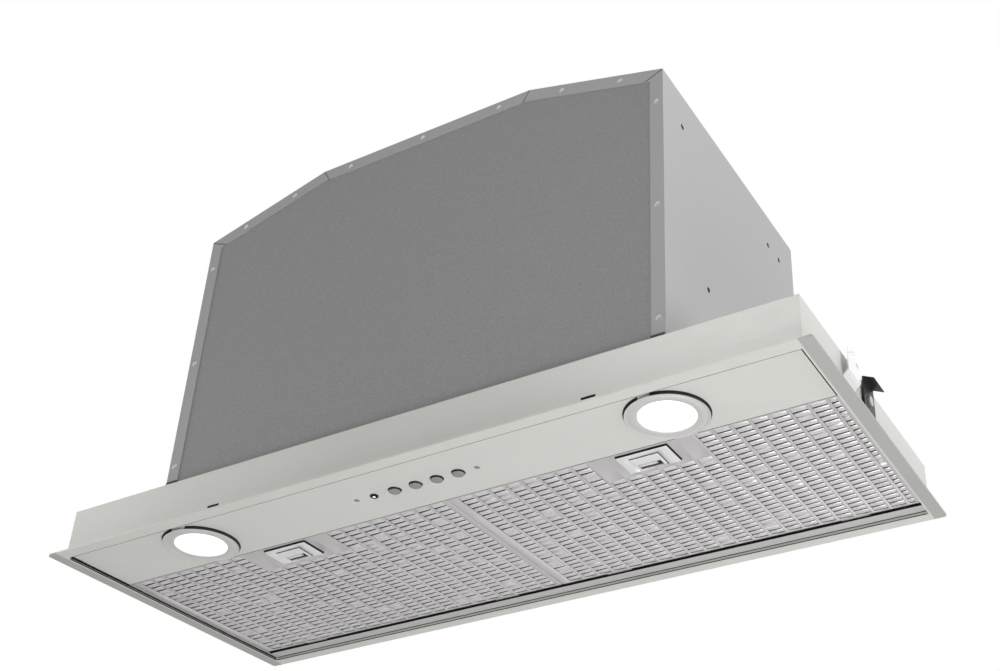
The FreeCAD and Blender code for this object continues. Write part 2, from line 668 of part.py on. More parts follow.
def latch_place(hx):
    """Sizes shared by the latch, the handle around it and the sheets behind it."""
    handle_front = filter_front + HANDLE_FRONT_SETBACK
    pad_x = hx + PAD_SHIFT
    handle_rear = handle_front + HANDLE_DEPTH
    return {"handle_front": handle_front, "handle_rear": handle_rear,
            "pad_x0": pad_x - PAD_LENGTH / 2, "pad_x1": pad_x + PAD_LENGTH / 2, "pad_x": pad_x,
            "pad_front": handle_front + PAD_FRONT_SETBACK,
            "pad_rear": handle_rear - HANDLE_SKIRT - LATCH_TRAVEL - LATCH_PLAY,
            "leg_front": filter_front + LATCH_LEG_SETBACK,
            "leg_rear": filter_front + LATCH_LEG_SETBACK + LATCH_LEG_SHEET,
            "face": FILTER_RISE - HANDLE_PROUD, "tongue_z": FILTER_RISE + LATCH_TONGUE_RISE - LATCH_PLAY}


def filter_frame(x0, x1, hx):
    """Channel-section ring behind the face sheet, with two rear tongues."""
    body = rounded_plate(x0, x1, filter_front, filter_rear, sheet_top, filter_top, FILTER_CORNER)
    channel = box(x0 + FILTER_SHEET, x1 - FILTER_SHEET, filter_front + FILTER_SHEET,
                  filter_rear - FILTER_SHEET, strip_top, filter_top - FILTER_SHEET)
    mouth = box(x0 + FILTER_RIM, x1 - FILTER_RIM, filter_front + FILTER_RIM, filter_rear - FILTER_RIM,
                sheet_top - PAST, filter_top + PAST)
    place = latch_place(hx)
    half = LATCH_TONGUE_WIDTH / 2 + LATCH_PLAY
    slot = box(hx - half, hx + half, filter_front - PAST, filter_front + FILTER_SHEET + PAST,
               place["tongue_z"] - LATCH_PLAY, place["tongue_z"] + LATCH_TONGUE_THICKNESS + LATCH_PLAY)
    middle = (x0 + x1) / 2
    tongues = []
    for x in (middle - TONGUE_SPREAD / 2, middle + TONGUE_SPREAD / 2):
        tongues.append(box(x - TONGUE_WIDTH / 2, x + TONGUE_WIDTH / 2, filter_rear - FILTER_SHEET,
                           filter_rear + TONGUE_REACH, tongue_z, tongue_z + TONGUE_THICKNESS))
    return join([body.cut([channel, mouth, slot])] + tongues)


def column_places(x0, x1, hx):
    """Ends of each pressed column, the last one cut short where it meets the frame."""
    middle = hx + COLUMN_SHIFT
    low = x0 + FILTER_RIM + COLUMN_MARGIN
    high = x1 - FILTER_RIM - COLUMN_MARGIN - COLUMN_SEAT
    before = int((middle - low) // COLUMN_PITCH)
    after = int((high - COLUMN_LEAST - middle) // COLUMN_PITCH)
    starts = [middle + COLUMN_PITCH * number for number in range(-before, after + 1)]
    return [(start, min(start + COLUMN_WIDTH, high)) for start in starts]


def in_plain_area(start, hx):
    return abs(start + COLUMN_WIDTH / 2 - hx - COLUMN_SHIFT) < PLAIN_AREA_LENGTH / 2


def face_sheet(x0, x1, hx):
    """Pressed sheet: columns of set-back strips with an open slit down the left of each."""
    plate = rounded_plate(x0, x1, filter_front, filter_rear, FILTER_RISE, sheet_top, FILTER_CORNER)
    place = latch_place(hx)
    well = LATCH_WELL_LENGTH / 2
    cuts = [box(place["pad_x"] - well, place["pad_x"] + well, place["leg_front"] - LATCH_PLAY,
                place["pad_rear"] + LATCH_TRAVEL, FILTER_RISE - PAST, sheet_top + PAST)]
    strips = []
    rear = filter_rear - COLUMN_REAR_MARGIN
    for start, end in column_places(x0, x1, hx):
        front = filter_front + (PLAIN_AREA_DEPTH if in_plain_area(start, hx) else COLUMN_FRONT_MARGIN)
        cuts.append(box(start, end, front, rear, FILTER_RISE - PAST, sheet_top + PAST))
        strips.append(box(start + COLUMN_SLIT, end + COLUMN_SEAT, front - COLUMN_SEAT,
                          rear + COLUMN_SEAT, sheet_top, strip_top))
    return join([plate.cut(cuts)] + strips)


def latch_clearance(hx):
    """Notch that the layers leave around the latch, from the front edge back."""
    place = latch_place(hx)
    half = LATCH_WELL_LENGTH / 2 + 2 * LATCH_PLAY
    return box(place["pad_x"] - half, place["pad_x"] + half, filter_front,
               place["pad_rear"] + LATCH_TRAVEL + LATCH_PLAY, sheet_top, filter_top)


def mesh_layer(x0, x1, hx):
    """Corrugated mesh, drawn as one folded sheet."""
    gap = FILTER_SHEET + FILTER_LAYER_GAP
    count = int((x1 - x0 - 2 * gap) // MESH_PITCH)
    pitch = (x1 - x0 - 2 * gap) / count
    low, high = strip_top, back_sheet_z - MESH_THICKNESS
    flat = MESH_THICKNESS
    under = []
    for number in range(count):
        x = x0 + gap + pitch * number
        under += [(x, low), (x + flat, low), (x + pitch / 2, high), (x + pitch / 2 + flat, high)]
    under.append((x1 - gap, low))
    over = [(x, z + MESH_THICKNESS) for x, z in reversed(under)]
    folded = sheet_along_y(under + over, filter_front + gap, filter_rear - gap)
    return folded.cut(latch_clearance(hx))


def back_sheet(x0, x1, hx):
    """Plain slotted sheet at the back, with the seat for the latch's spring."""
    gap = FILTER_SHEET + FILTER_LAYER_GAP
    plate = box(x0 + gap, x1 - gap, filter_front + gap, filter_rear - gap,
                back_sheet_z, back_sheet_z + FILTER_SHEET)
    seat_y = latch_place(hx)["leg_rear"] + SPRING_LENGTH
    seat = box(hx - SPRING_SEAT_WIDTH / 2, hx + SPRING_SEAT_WIDTH / 2, seat_y, seat_y + SPRING_SEAT_SHEET,
               spring_z() - SPRING_DIAMETER / 2, back_sheet_z)
    slits = []
    for start, end in column_places(x0, x1, hx):
        if not in_plain_area(start, hx):
            middle = (start + end) / 2
            slits.append(box(middle - COLUMN_SLIT, middle + COLUMN_SLIT,
                             filter_front + PLAIN_AREA_DEPTH, filter_rear - PLAIN_AREA_DEPTH,
                             back_sheet_z - PAST, filter_top))
    return join([plate.cut(slits), seat])


def spring_z():
    return FILTER_RISE + LATCH_LEG_HEIGHT - SPRING_DIAMETER / 2


def filter_handle(hx):
    """Raised surround with a bevelled window that the latch's pad stands in."""
    place = latch_place(hx)
    x0, x1 = hx - HANDLE_LENGTH / 2, hx + HANDLE_LENGTH / 2
    y0, y1 = place["handle_front"], place["handle_rear"]
    face = place["face"]
    body = box(x0, x1, y0, y1, face, FILTER_RISE)
    under = box(x0 + HANDLE_SKIRT, x1 - HANDLE_SKIRT, y0 + HANDLE_SKIRT, y1 - HANDLE_SKIRT,
                face + HANDLE_PLATE, FILTER_RISE)
    window = box(place["pad_x0"] - PAD_SIDE_GAP, place["pad_x1"] + PAD_SIDE_GAP,
                 place["pad_front"] - PAD_SIDE_GAP, y1 - HANDLE_SKIRT, face - PAST, FILTER_RISE)
    shell = body.cut([under, window])
    rim = [edge for edge in shell.Edges
           if edge.BoundBox.ZMax < face + HANDLE_BEVEL / 2 and edge.BoundBox.YMin < y0 + HANDLE_BEVEL / 2]
    return shell.makeChamfer(HANDLE_BEVEL, rim)


def latch(hx):
    """Finger pad on a sliding plate, joined by a leg to the tongue at the front."""
    place = latch_place(hx)
    face = place["face"]
    plate_top = FILTER_RISE - SCREW_FIT
    plate_low = plate_top - LATCH_PLATE
    plate_front = place["handle_front"] + HANDLE_SKIRT + LATCH_PLAY
    plate = box(place["pad_x0"] - LATCH_PLATE_MARGIN, place["pad_x1"] + LATCH_PLATE_MARGIN, plate_front,
                place["pad_rear"], plate_low, plate_top)
    pad = box(place["pad_x0"], place["pad_x1"], place["pad_front"], place["pad_rear"],
              face - PAD_PROUD, plate_top)
    half = LATCH_TONGUE_WIDTH / 2
    leg = box(hx - half, hx + half, place["leg_front"], place["leg_rear"], plate_low,
              FILTER_RISE + LATCH_LEG_HEIGHT)
    tongue = box(hx - half, hx + half, filter_front - LATCH_TONGUE_REACH, place["leg_rear"],
                 place["tongue_z"], place["tongue_z"] + LATCH_TONGUE_THICKNESS)
    slot_rear = place["pad_rear"] - FINGER_SLOT_WALL
    slot = box(place["pad_x"] - FINGER_SLOT_LENGTH / 2, place["pad_x"] + FINGER_SLOT_LENGTH / 2,
               slot_rear - FINGER_SLOT_DEPTH, slot_rear, face - PAD_PROUD - PAST, plate_top + PAST)
    return join([plate, pad, leg, tongue]).cut(slot)


def latch_spring(hx):
    """Coil spring between the latch's leg and its seat on the back sheet."""
    start = latch_place(hx)["leg_rear"] + SPRING_WIRE / 2
    length = SPRING_LENGTH - SPRING_WIRE
    radius = (SPRING_DIAMETER - SPRING_WIRE) / 2
    helix = Part.makeHelix(length / SPRING_TURNS, length, radius)
    section = Part.Wire(Part.makeCircle(SPRING_WIRE / 2, V(radius, 0, 0), V(0, 1, 0)))
    coil = Part.Wire(helix.Edges).makePipeShell([section], True, True)
    coil.rotate(V(0, 0, 0), V(1, 0, 0), -90)
    coil.translate(V(hx, start, spring_z()))
    return coil


# Housing

def house_outline(inset):
    """Half hexagon of the housing's front, drawn in by inset on all but its foot."""
    run, rise = housing_x - top_x, shoulder_z - housing_top
    slope = math.hypot(run, rise)
    normal_x, normal_z = rise / slope, -run / slope
    side_drop = inset * (1 + normal_x) / -normal_z
    top_run = inset * (1 + normal_z) / -normal_x
    side, top = housing_x - inset, housing_top - inset
    shoulder = shoulder_z - side_drop
    top_half = top_x - top_run
    return [(-side, TRAY_HEIGHT), (side, TRAY_HEIGHT), (side, shoulder), (top_half, top),
            (-top_half, top), (-side, shoulder)]


def rivet_places():
    """Rivets down the middle of each folded lip."""
    inset = HOUSING_LIP / 2
    side = housing_x - inset
    low, high = TRAY_HEIGHT + RIVET_END_RISE, shoulder_z - RIVET_END_DROP
    places = [(RIVET_TOP_PITCH * number, housing_top - inset) for number in (-1, 0, 1)]
    corner, peak = house_outline(inset)[2], house_outline(inset)[3]
    length = math.hypot(peak[0] - corner[0], peak[1] - corner[1])
    share = RIVET_SHOULDER_END / length
    for mirror in (-1, 1):
        places += [(mirror * side, z) for z in (low, (low + high) / 2, high)]
        for part in (share, 1 - share):
            places.append((mirror * (corner[0] + part * (peak[0] - corner[0])),
                           corner[1] + part * (peak[1] - corner[1])))
    return places


def mitre_cut(mirror, corner, tilt):
    """Narrow slot through the lips, from a corner inwards at tilt degrees below level."""
    along = V(-mirror * math.cos(math.radians(tilt)), 0, -math.sin(math.radians(tilt)))
    across = V(-along.z, 0, along.x) * (MITRE_GAP / 2)
    start = V(mirror * corner[0], -housing_y - PAST, corner[1])
    end = start + along * (2 * HOUSING_LIP)
    face = polygon([start + across, end + across, end - across, start - across])
    return face.extrude(V(0, HOUSING_SHEET + PAST, 0))


def below_mitre(mirror, corner, tilt):
    """Region outside and below the line of a mitre slot, at one end of the housing."""
    outside, low = housing_x + PAST, TRAY_HEIGHT - PAST
    slope = math.tan(math.radians(tilt))
    inside = corner[0] - 2 * HOUSING_LIP * math.cos(math.radians(tilt))
    points = [(outside, corner[1] + (outside - corner[0]) * slope),
              (inside, corner[1] - (corner[0] - inside) * slope), (inside, low), (outside, low)]
    return sheet_along_y([(mirror * x, z) for x, z in points], -housing_y - PAST, housing_y + PAST)


def housing_wrap():
    """Top, shoulders and sides: five sheets welded edge to edge, with lips folded in at front and back."""
    outer = sheet_along_y(house_outline(0), -housing_y, housing_y)
    bore = sheet_along_y(house_outline(HOUSING_SHEET), -panel_face_y, panel_face_y)
    ends = sheet_along_y(house_outline(HOUSING_LIP), -housing_y - PAST, housing_y + PAST)
    wrap = outer.cut([bore, ends])
    cuts = []
    corners = house_outline(HOUSING_SHEET)
    for mirror in (-1, 1):
        for corner, tilt in ((corners[2], MITRE_TILT), (corners[3], MITRE_TOP_TILT)):
            slot = mitre_cut(mirror, corner, tilt)
            cuts += [slot, slot.mirror(V(0, 0, 0), V(0, 1, 0))]
    for x, z in rivet_places():
        cuts.append(cylinder_y(x, z, RIVET_DIAMETER / 2 + RIVET_FIT, -housing_y - PAST, housing_y + PAST))
    for y, z in side_hole_places():
        cuts.append(cylinder_x(y, z, SIDE_HOLE_DIAMETER / 2, -housing_x - PAST, housing_x + PAST))
    low, high = inner_top - PAST, housing_top + PAST
    cuts.append(cylinder_z(0, 0, adapter_radius, low, high))
    cuts.append(cylinder_z(-GLAND_SIDE, gland_y(), GLAND_THREAD / 2 + SCREW_FIT, low, high))
    for x, y in outlet_screw_places():
        cuts.append(cylinder_z(x, y, OUTLET_SCREW_DIAMETER / 2 + SCREW_FIT, low, high))
    rest = wrap.cut(cuts)
    sheets = []
    for mirror in (-1, 1):
        for corner, tilt in ((corners[2], MITRE_TILT), (corners[3], MITRE_TOP_TILT)):
            region = below_mitre(mirror, corner, tilt)
            sheets.append(rest.common(region))
            rest = rest.cut(region)
    return sheets + [rest]


def side_hole_places():
    """Spare fixing holes in the end walls."""
    high = shoulder_z - SIDE_HOLE_DROP
    front = -housing_y + SIDE_HOLE_FRONT
    rear = housing_y - SIDE_HOLE_REAR
    return [(front, high), (rear, high), (rear - SIDE_HOLE_PAIR_PITCH, high),
            (-housing_y + SIDE_HOLE_LOW_FRONT, TRAY_HEIGHT + SIDE_HOLE_LOW_RISE)]


def housing_end_panel(face):
    """Flat sheet behind the lips at the front (face -1) or at the back (face 1)."""
    outer = face * panel_face_y
    inner = face * (panel_face_y - HOUSING_SHEET)
    plate = sheet_along_y(house_outline(HOUSING_SHEET + HOUSING_PANEL_GAP), outer, inner)
    low, high = min(outer, inner) - PAST, max(outer, inner) + PAST
    holes = [cylinder_y(x, z, RIVET_DIAMETER / 2 + RIVET_FIT, low, high) for x, z in rivet_places()]
    return plate.cut(holes)


def housing_rivets():
    """Domed head outside the lip, shank through both sheets and a set tail inside."""
    rivets = []
    tail_y = housing_y - 2 * HOUSING_SHEET
    for x, z in rivet_places():
        head = domed_disc(0, 0, RIVET_HEAD / 2, 0, RIVET_HEAD_HEIGHT)
        head.rotate(V(0, 0, 0), V(1, 0, 0), -90)
        head.translate(V(x, -housing_y, z))
        shank = cylinder_y(x, z, RIVET_DIAMETER / 2, -housing_y, -tail_y)
        tail = cylinder_y(x, z, RIVET_HEAD / 2 - RIVET_TAIL / 2, -tail_y, -tail_y + RIVET_TAIL)
        rivet = join([head, shank, tail])
        rivets += [rivet, rivet.mirror(V(0, 0, 0), V(0, 1, 0))]
    return rivets


def foot_clips():
    """Angle at each lower corner of the housing, standing on the deck."""
    clips = []
    for side in (-1, 1):
        for face in (-1, 1):
            x0 = side * housing_x - side * HOUSING_SHEET
            x1 = x0 - side * FOOT_LENGTH
            y = face * housing_y
            upright = box(x0, x1, y, y + face * FOOT_SHEET, TRAY_HEIGHT, TRAY_HEIGHT + FOOT_HEIGHT)
            plate = box(x0, x1, y, y + face * FOOT_REACH, TRAY_HEIGHT, TRAY_HEIGHT + FOOT_PLATE)
            clips.append(join([upright, plate]))
    return clips


# Outlet

def outlet_screw_places():
    half = OUTLET_SCREW_SPACING / 2
    return [(x, y) for x in (-half, half) for y in (-half, half)]


def outlet_plate():
    """Square plate that the duct spigot stands on."""
    half = COLLAR_PLATE / 2
    plate = box(-half, half, -half, half, housing_top, plate_top)
    cuts = [cylinder_z(0, 0, throat_radius, housing_top - PAST, plate_top + PAST)]
    for x, y in outlet_screw_places():
        cuts.append(cylinder_z(x, y, OUTLET_SCREW_DIAMETER / 2 + SCREW_FIT, housing_top - PAST,
                               plate_top + PAST))
    return plate.cut(cuts)


def outlet_collar():
    """Duct spigot with an inner stop ring under the flaps and a hole for their pin."""
    tube = cylinder_z(0, 0, duct_radius, plate_top, collar_top)
    throat = cylinder_z(0, 0, throat_radius, plate_top - PAST, collar_top + PAST)
    stop_low = flap_stop_z - COLLAR_STOP_THICKNESS
    stop = cylinder_z(0, 0, throat_radius, stop_low, flap_stop_z)
    stop = stop.cut(cylinder_z(0, 0, throat_radius - COLLAR_STOP_WIDTH, stop_low - PAST, flap_stop_z + PAST))
    pin_hole = cylinder_y(0, pin_z, PIN_DIAMETER / 2, -duct_radius - PAST, duct_radius + PAST)
    return join([tube.cut(throat), stop]).cut(pin_hole)


def damper_pin():
    reach = throat_radius + PIN_END_DEPTH
    return cylinder_y(0, pin_z, PIN_DIAMETER / 2, -reach, reach)


def damper_flap(side):
    """Half disc with barrels that take turns with the other flap's along the pin."""
    radius = throat_radius - FLAP_GAP
    barrel = FLAP_KNUCKLE_DIAMETER / 2
    edge = barrel + FLAP_EDGE_GAP
    low, high = pin_z - FLAP_THICKNESS / 2, pin_z + FLAP_THICKNESS / 2
    half_disc = cylinder_z(0, 0, radius, low, high).cut(
        box(-side * (radius + PAST), side * edge, -radius - PAST, radius + PAST, low - PAST, high + PAST))
    reach = throat_radius - COLLAR_STOP_WIDTH
    reach = math.sqrt(reach ** 2 - barrel ** 2) - FLAP_KNUCKLE_END_GAP
    pitch = 2 * reach / FLAP_KNUCKLE_COUNT
    pieces = [half_disc]
    first = 0 if side > 0 else 1
    for number in range(first, FLAP_KNUCKLE_COUNT, 2):
        y0 = -reach + pitch * number + FLAP_KNUCKLE_GAP / 2
        y1 = y0 + pitch - FLAP_KNUCKLE_GAP
        pieces.append(cylinder_y(0, pin_z, barrel, y0, y1))
        pieces.append(box(0, side * (edge + FLAP_THICKNESS), y0, y1, low, high))
    bore = cylinder_y(0, pin_z, PIN_DIAMETER / 2 + PIN_RUNNING_CLEARANCE, -radius, radius)
    return join(pieces).cut(bore)


def outlet_screws():
    screws = []
    head_z = plate_top
    tail = inner_top - ADAPTER_WALL - OUTLET_SCREW_TAIL
    for x, y in outlet_screw_places():
        head = cylinder_z(x, y, OUTLET_SCREW_HEAD / 2, head_z, head_z + OUTLET_SCREW_HEAD_HEIGHT)
        screws.append(join([head, cylinder_z(x, y, OUTLET_SCREW_DIAMETER / 2, tail, head_z)]))
    return screws


# Blower

def square_to_round(wall):
    """Solid that runs from the scroll's rectangular mouth to the round outlet."""
    x = scroll_x - SCROLL_WALL + wall
    y0, y1 = channel_front - wall, channel_rear + wall
    radius = adapter_radius + wall
    low, high = channel_top + ADAPTER_WALL, inner_top - ADAPTER_WALL
    corners = [V(x, y1, low), V(-x, y1, low), V(-x, y0, low), V(x, y0, low)]
    rectangle = Part.makePolygon(corners + corners[:1])
    arcs = [Part.makeCircle(radius, V(0, 0, high), V(0, 0, 1), start, start + 90)
            for start in (45, 135, 225, 315)]
    return Part.makeLoft([rectangle, Part.Wire(arcs)], True, True)


def outlet_adapter():
    """Transition duct that hangs the scroll from the housing's top, and the plate welded to its head."""
    x = scroll_x - SCROLL_WALL
    rim = ADAPTER_RIM + SCROLL_WALL
    foot = box(-x - rim, x + rim, channel_front - rim, channel_rear + rim, channel_top,
               channel_top + ADAPTER_WALL)
    foot = foot.cut(box(-x, x, channel_front, channel_rear, channel_top - PAST, channel_top + 2 * PAST))
    half = ADAPTER_PLATE / 2
    head = box(-half, half, -half, half, inner_top - ADAPTER_WALL, inner_top)
    cuts = [cylinder_z(0, 0, adapter_radius, inner_top - ADAPTER_WALL - PAST, inner_top + PAST)]
    for sx, sy in outlet_screw_places():
        cuts.append(cylinder_z(sx, sy, OUTLET_SCREW_DIAMETER / 2 + SCREW_FIT,
                               inner_top - ADAPTER_WALL - PAST, inner_top + PAST))
    wall = square_to_round(ADAPTER_WALL).cut(square_to_round(0))
    return [join([foot, wall]), head.cut(cuts)]


def scroll_outline(growth, top):
    """Spiral casing outline grown outwards by growth, with its channel up to top."""
    half = SCROLL_STEP / 2
    radii = [SCROLL_RADIUS + SCROLL_STEP * number + growth for number in range(3)]
    ay, az = blower_y - half, blower_z - half
    by, bz = blower_y + half, blower_z - half
    cy, cz = blower_y + half, blower_z + half
    front = channel_front - growth
    tongue_z_level = az + math.sqrt(radii[0] ** 2 - (front - ay) ** 2)
    tongue_angle = math.atan2(tongue_z_level - az, front - ay)

    def on_arc(y, z, radius, angle):
        return V(0, y + radius * math.cos(angle), z + radius * math.sin(angle))

    tongue = V(0, front, tongue_z_level)
    left = on_arc(ay, az, radii[0], math.pi)
    bottom = on_arc(by, bz, radii[1], 1.5 * math.pi)
    right = on_arc(cy, cz, radii[2], 2 * math.pi)
    front_top, rear_top = V(0, front, top), V(0, right.y, top)
    edges = [Part.makeLine(front_top, tongue),
             Part.Arc(tongue, on_arc(ay, az, radii[0], (tongue_angle + math.pi) / 2), left).toShape(),
             Part.Arc(left, on_arc(by, bz, radii[1], 1.25 * math.pi), bottom).toShape(),
             Part.Arc(bottom, on_arc(cy, cz, radii[2], 1.75 * math.pi), right).toShape(),
             Part.makeLine(right, rear_top), Part.makeLine(rear_top, front_top)]
    return Part.Face(Part.Wire(edges))


def scroll_half(side):
    """One half of the spiral casing: its band with the joint flange, and its side with the inlet ring."""
    near, far = side * (scroll_x - SCROLL_WALL), side * (scroll_x + SCROLL_INLET_LIP)
    band = scroll_outline(SCROLL_WALL, channel_top).extrude(V(near, 0, 0))
    flange = scroll_outline(SCROLL_WALL + SCROLL_FLANGE, channel_top).extrude(V(side * SCROLL_WALL, 0, 0))
    hollow = scroll_outline(0, channel_top + PAST).extrude(V(near, 0, 0))
    plate = scroll_outline(SCROLL_WALL, channel_top).extrude(V(side * SCROLL_WALL, 0, 0))
    plate.translate(V(near, 0, 0))
    radius = SCROLL_INLET_DIAMETER / 2
    lip = cylinder_x(blower_y, blower_z, radius + SCROLL_WALL, *sorted((near, far)))
    inlet = cylinder_x(blower_y, blower_z, radius, *sorted((near - side * PAST, far + side * PAST)))
    return [join([band, flange]).cut(hollow), join([plate, lip]).cut(inlet)]


def blade(x0, x1):
    """One forward-curved blade, drawn at the front of the wheel between two places along its axis."""
    outer = IMPELLER_DIAMETER / 2 - IMPELLER_RIM_THICKNESS / 2
    inner = IMPELLER_DIAMETER / 2 - IMPELLER_RIM + IMPELLER_RIM_THICKNESS / 2
    sweep = math.radians(IMPELLER_BLADE_SWEEP)
    root = V(0, inner, 0)
    tip = V(0, outer * math.cos(sweep), outer * math.sin(sweep))
    chord = (tip - root).normalize()
    across = V(0, -chord.z, chord.y)
    belly = (root + tip) * 0.5 + across * -IMPELLER_BLADE_BOW
    thick = across * IMPELLER_BLADE_THICKNESS
    edges = [Part.Arc(root, belly, tip).toShape(), Part.makeLine(tip, tip + thick),
             Part.Arc(tip + thick, belly + thick, root + thick).toShape(),
             Part.makeLine(root + thick, root)]
    shape = Part.Face(Part.Wire(edges)).extrude(V(x1 - x0, 0, 0))
    shape.translate(V(x0, 0, 0))
    return shape


def impeller():
    """Centre disc on its hub, and a rim at each end."""
    half = IMPELLER_LENGTH / 2
    radius = IMPELLER_DIAMETER / 2
    disc_x = IMPELLER_DISC_THICKNESS / 2
    hub_x = IMPELLER_HUB_LENGTH / 2
    disc = join([cylinder_x(0, 0, radius, -disc_x, disc_x),
                 cylinder_x(0, 0, IMPELLER_HUB_DIAMETER / 2, -hub_x, hub_x)])
    pieces = [disc.cut(cylinder_x(0, 0, SHAFT_DIAMETER / 2 + SHAFT_FIT, -half, half))]
    for x in (-half, half - IMPELLER_RIM_THICKNESS):
        rim = cylinder_x(0, 0, radius, x, x + IMPELLER_RIM_THICKNESS)
        pieces.append(rim.cut(cylinder_x(0, 0, radius - IMPELLER_RIM, x - PAST,
                                         x + IMPELLER_RIM_THICKNESS + PAST)))
    for piece in pieces:
        piece.translate(V(0, blower_y, blower_z))
    return pieces


def impeller_blades():
    """Blades that stand between the disc and each rim."""
    disc_x = IMPELLER_DISC_THICKNESS / 2
    rim_x = IMPELLER_LENGTH / 2 - IMPELLER_RIM_THICKNESS
    blades = []
    for number in range(IMPELLER_BLADE_COUNT):
        for x0, x1 in ((-rim_x, -disc_x), (disc_x, rim_x)):
            one = blade(x0, x1)
            one.rotate(V(0, 0, 0), V(1, 0, 0), 360.0 * number / IMPELLER_BLADE_COUNT)
            one.translate(V(0, blower_y, blower_z))
            blades.append(one)
    return blades


def motor_shaft():
    return cylinder_x(blower_y, blower_z, SHAFT_DIAMETER / 2, motor_rear + MOTOR_END_WALL + PAST,
                      IMPELLER_HUB_LENGTH / 2 + PAST)


def motor():
    """Round body, stepped end cap and the boss towards the wheel, with a blind bore for the shaft."""
    radius = MOTOR_DIAMETER / 2
    step = motor_rear + MOTOR_CAP_STEP
    boss = motor_front + MOTOR_BOSS_LENGTH
    pieces = [cylinder_x(blower_y, blower_z, radius - MOTOR_CAP_STEP, motor_rear, step),
              cylinder_x(blower_y, blower_z, radius, step, motor_front),
              cylinder_x(blower_y, blower_z, MOTOR_BOSS_DIAMETER / 2, motor_front, boss)]
    bore = cylinder_x(blower_y, blower_z, SHAFT_DIAMETER / 2 + SHAFT_RUNNING_CLEARANCE,
                      motor_rear + MOTOR_END_WALL, boss + PAST)
    return [piece.cut(bore) for piece in pieces]


def motor_bracket():
    """Ring round the motor with arms that stand on the scroll's side."""
    middle = (motor_front + motor_rear) / 2
    x0, x1 = middle - BRACKET_RING_LENGTH / 2, middle + BRACKET_RING_LENGTH / 2
    bore = MOTOR_DIAMETER / 2 + MOTOR_FIT
    ring = cylinder_x(0, 0, bore + BRACKET_RING_WALL, x0, x1)
    ring = ring.cut(cylinder_x(0, 0, bore, x0 - PAST, x1 + PAST))
    half = BRACKET_ARM_WIDTH / 2
    outside = BRACKET_ARM_RADIUS
    inside = outside - BRACKET_ARM_SHEET
    pieces = [ring]
    for number in range(BRACKET_ARM_COUNT):
        spoke = box(x1 - BRACKET_ARM_SHEET, x1, -half, half, bore + BRACKET_RING_WALL / 2, outside)
        leg = box(x1 - BRACKET_ARM_SHEET, -scroll_x, -half, half, inside, outside)
        foot = box(-scroll_x - BRACKET_ARM_SHEET, -scroll_x, -half, half, inside,
                   outside + BRACKET_ARM_FOOT)
        arm = join([spoke, leg, foot])
        arm.rotate(V(0, 0, 0), V(1, 0, 0), BRACKET_ARM_START + 360.0 * number / BRACKET_ARM_COUNT)
        pieces.append(arm)
    bracket = join(pieces)
    bracket.translate(V(0, blower_y, blower_z))
    return bracket


# Electrical parts

def electronics_levels():
    low = TRAY_HEIGHT + ELECTRONICS_RISE
    return low, low + ELECTRONICS_HEIGHT


def electronics_box():
    """Open tray on the right end wall, with a standoff near each corner."""
    low, high = electronics_levels()
    half = ELECTRONICS_LENGTH / 2
    wall = ELECTRONICS_WALL
    mouth = wall_x - ELECTRONICS_DEPTH
    tray = box(mouth, wall_x, -half, half, low, high)
    tray = tray.cut(box(mouth - PAST, wall_x - wall, -half + wall, half - wall, low + wall, high - wall))
    posts = []
    for y in (-half + BOARD_STANDOFF_INSET, half - BOARD_STANDOFF_INSET):
        for z in (low + BOARD_STANDOFF_INSET, high - BOARD_STANDOFF_INSET):
            posts.append(cylinder_x(y, z, BOARD_STANDOFF_DIAMETER / 2, wall_x - wall - BOARD_STANDOFF,
                                    wall_x - wall))
    return join([tray] + posts)


def circuit_board():
    """Board on the standoffs, with a row of relays."""
    low, high = electronics_levels()
    inset = ELECTRONICS_WALL + BOARD_GAP
    half = ELECTRONICS_LENGTH / 2 - inset
    back = wall_x - ELECTRONICS_WALL - BOARD_STANDOFF
    face = back - BOARD_THICKNESS
    pieces = [box(face, back, -half, half, low + inset, high - inset)]
    pitch = ELECTRONICS_LENGTH / (RELAY_COUNT + 1)
    middle = (low + high) / 2
    for number in range(RELAY_COUNT):
        y = -ELECTRONICS_LENGTH / 2 + pitch * (number + 1)
        pieces.append(box(face - RELAY_HEIGHT, face, y - RELAY_SIZE / 2, y + RELAY_SIZE / 2,
                          middle - RELAY_SIZE, middle + RELAY_SIZE))
    return join(pieces)


def motor_capacitor():
    z = electronics_levels()[0] - CAPACITOR_DROP
    return cylinder_x(0, z, CAPACITOR_DIAMETER / 2, wall_x - CAPACITOR_LENGTH, wall_x)


def gland_y():
    """Middle of the strip between the outlet's plate and the rear panel."""
    return (COLLAR_PLATE / 2 + panel_face_y - HOUSING_SHEET) / 2


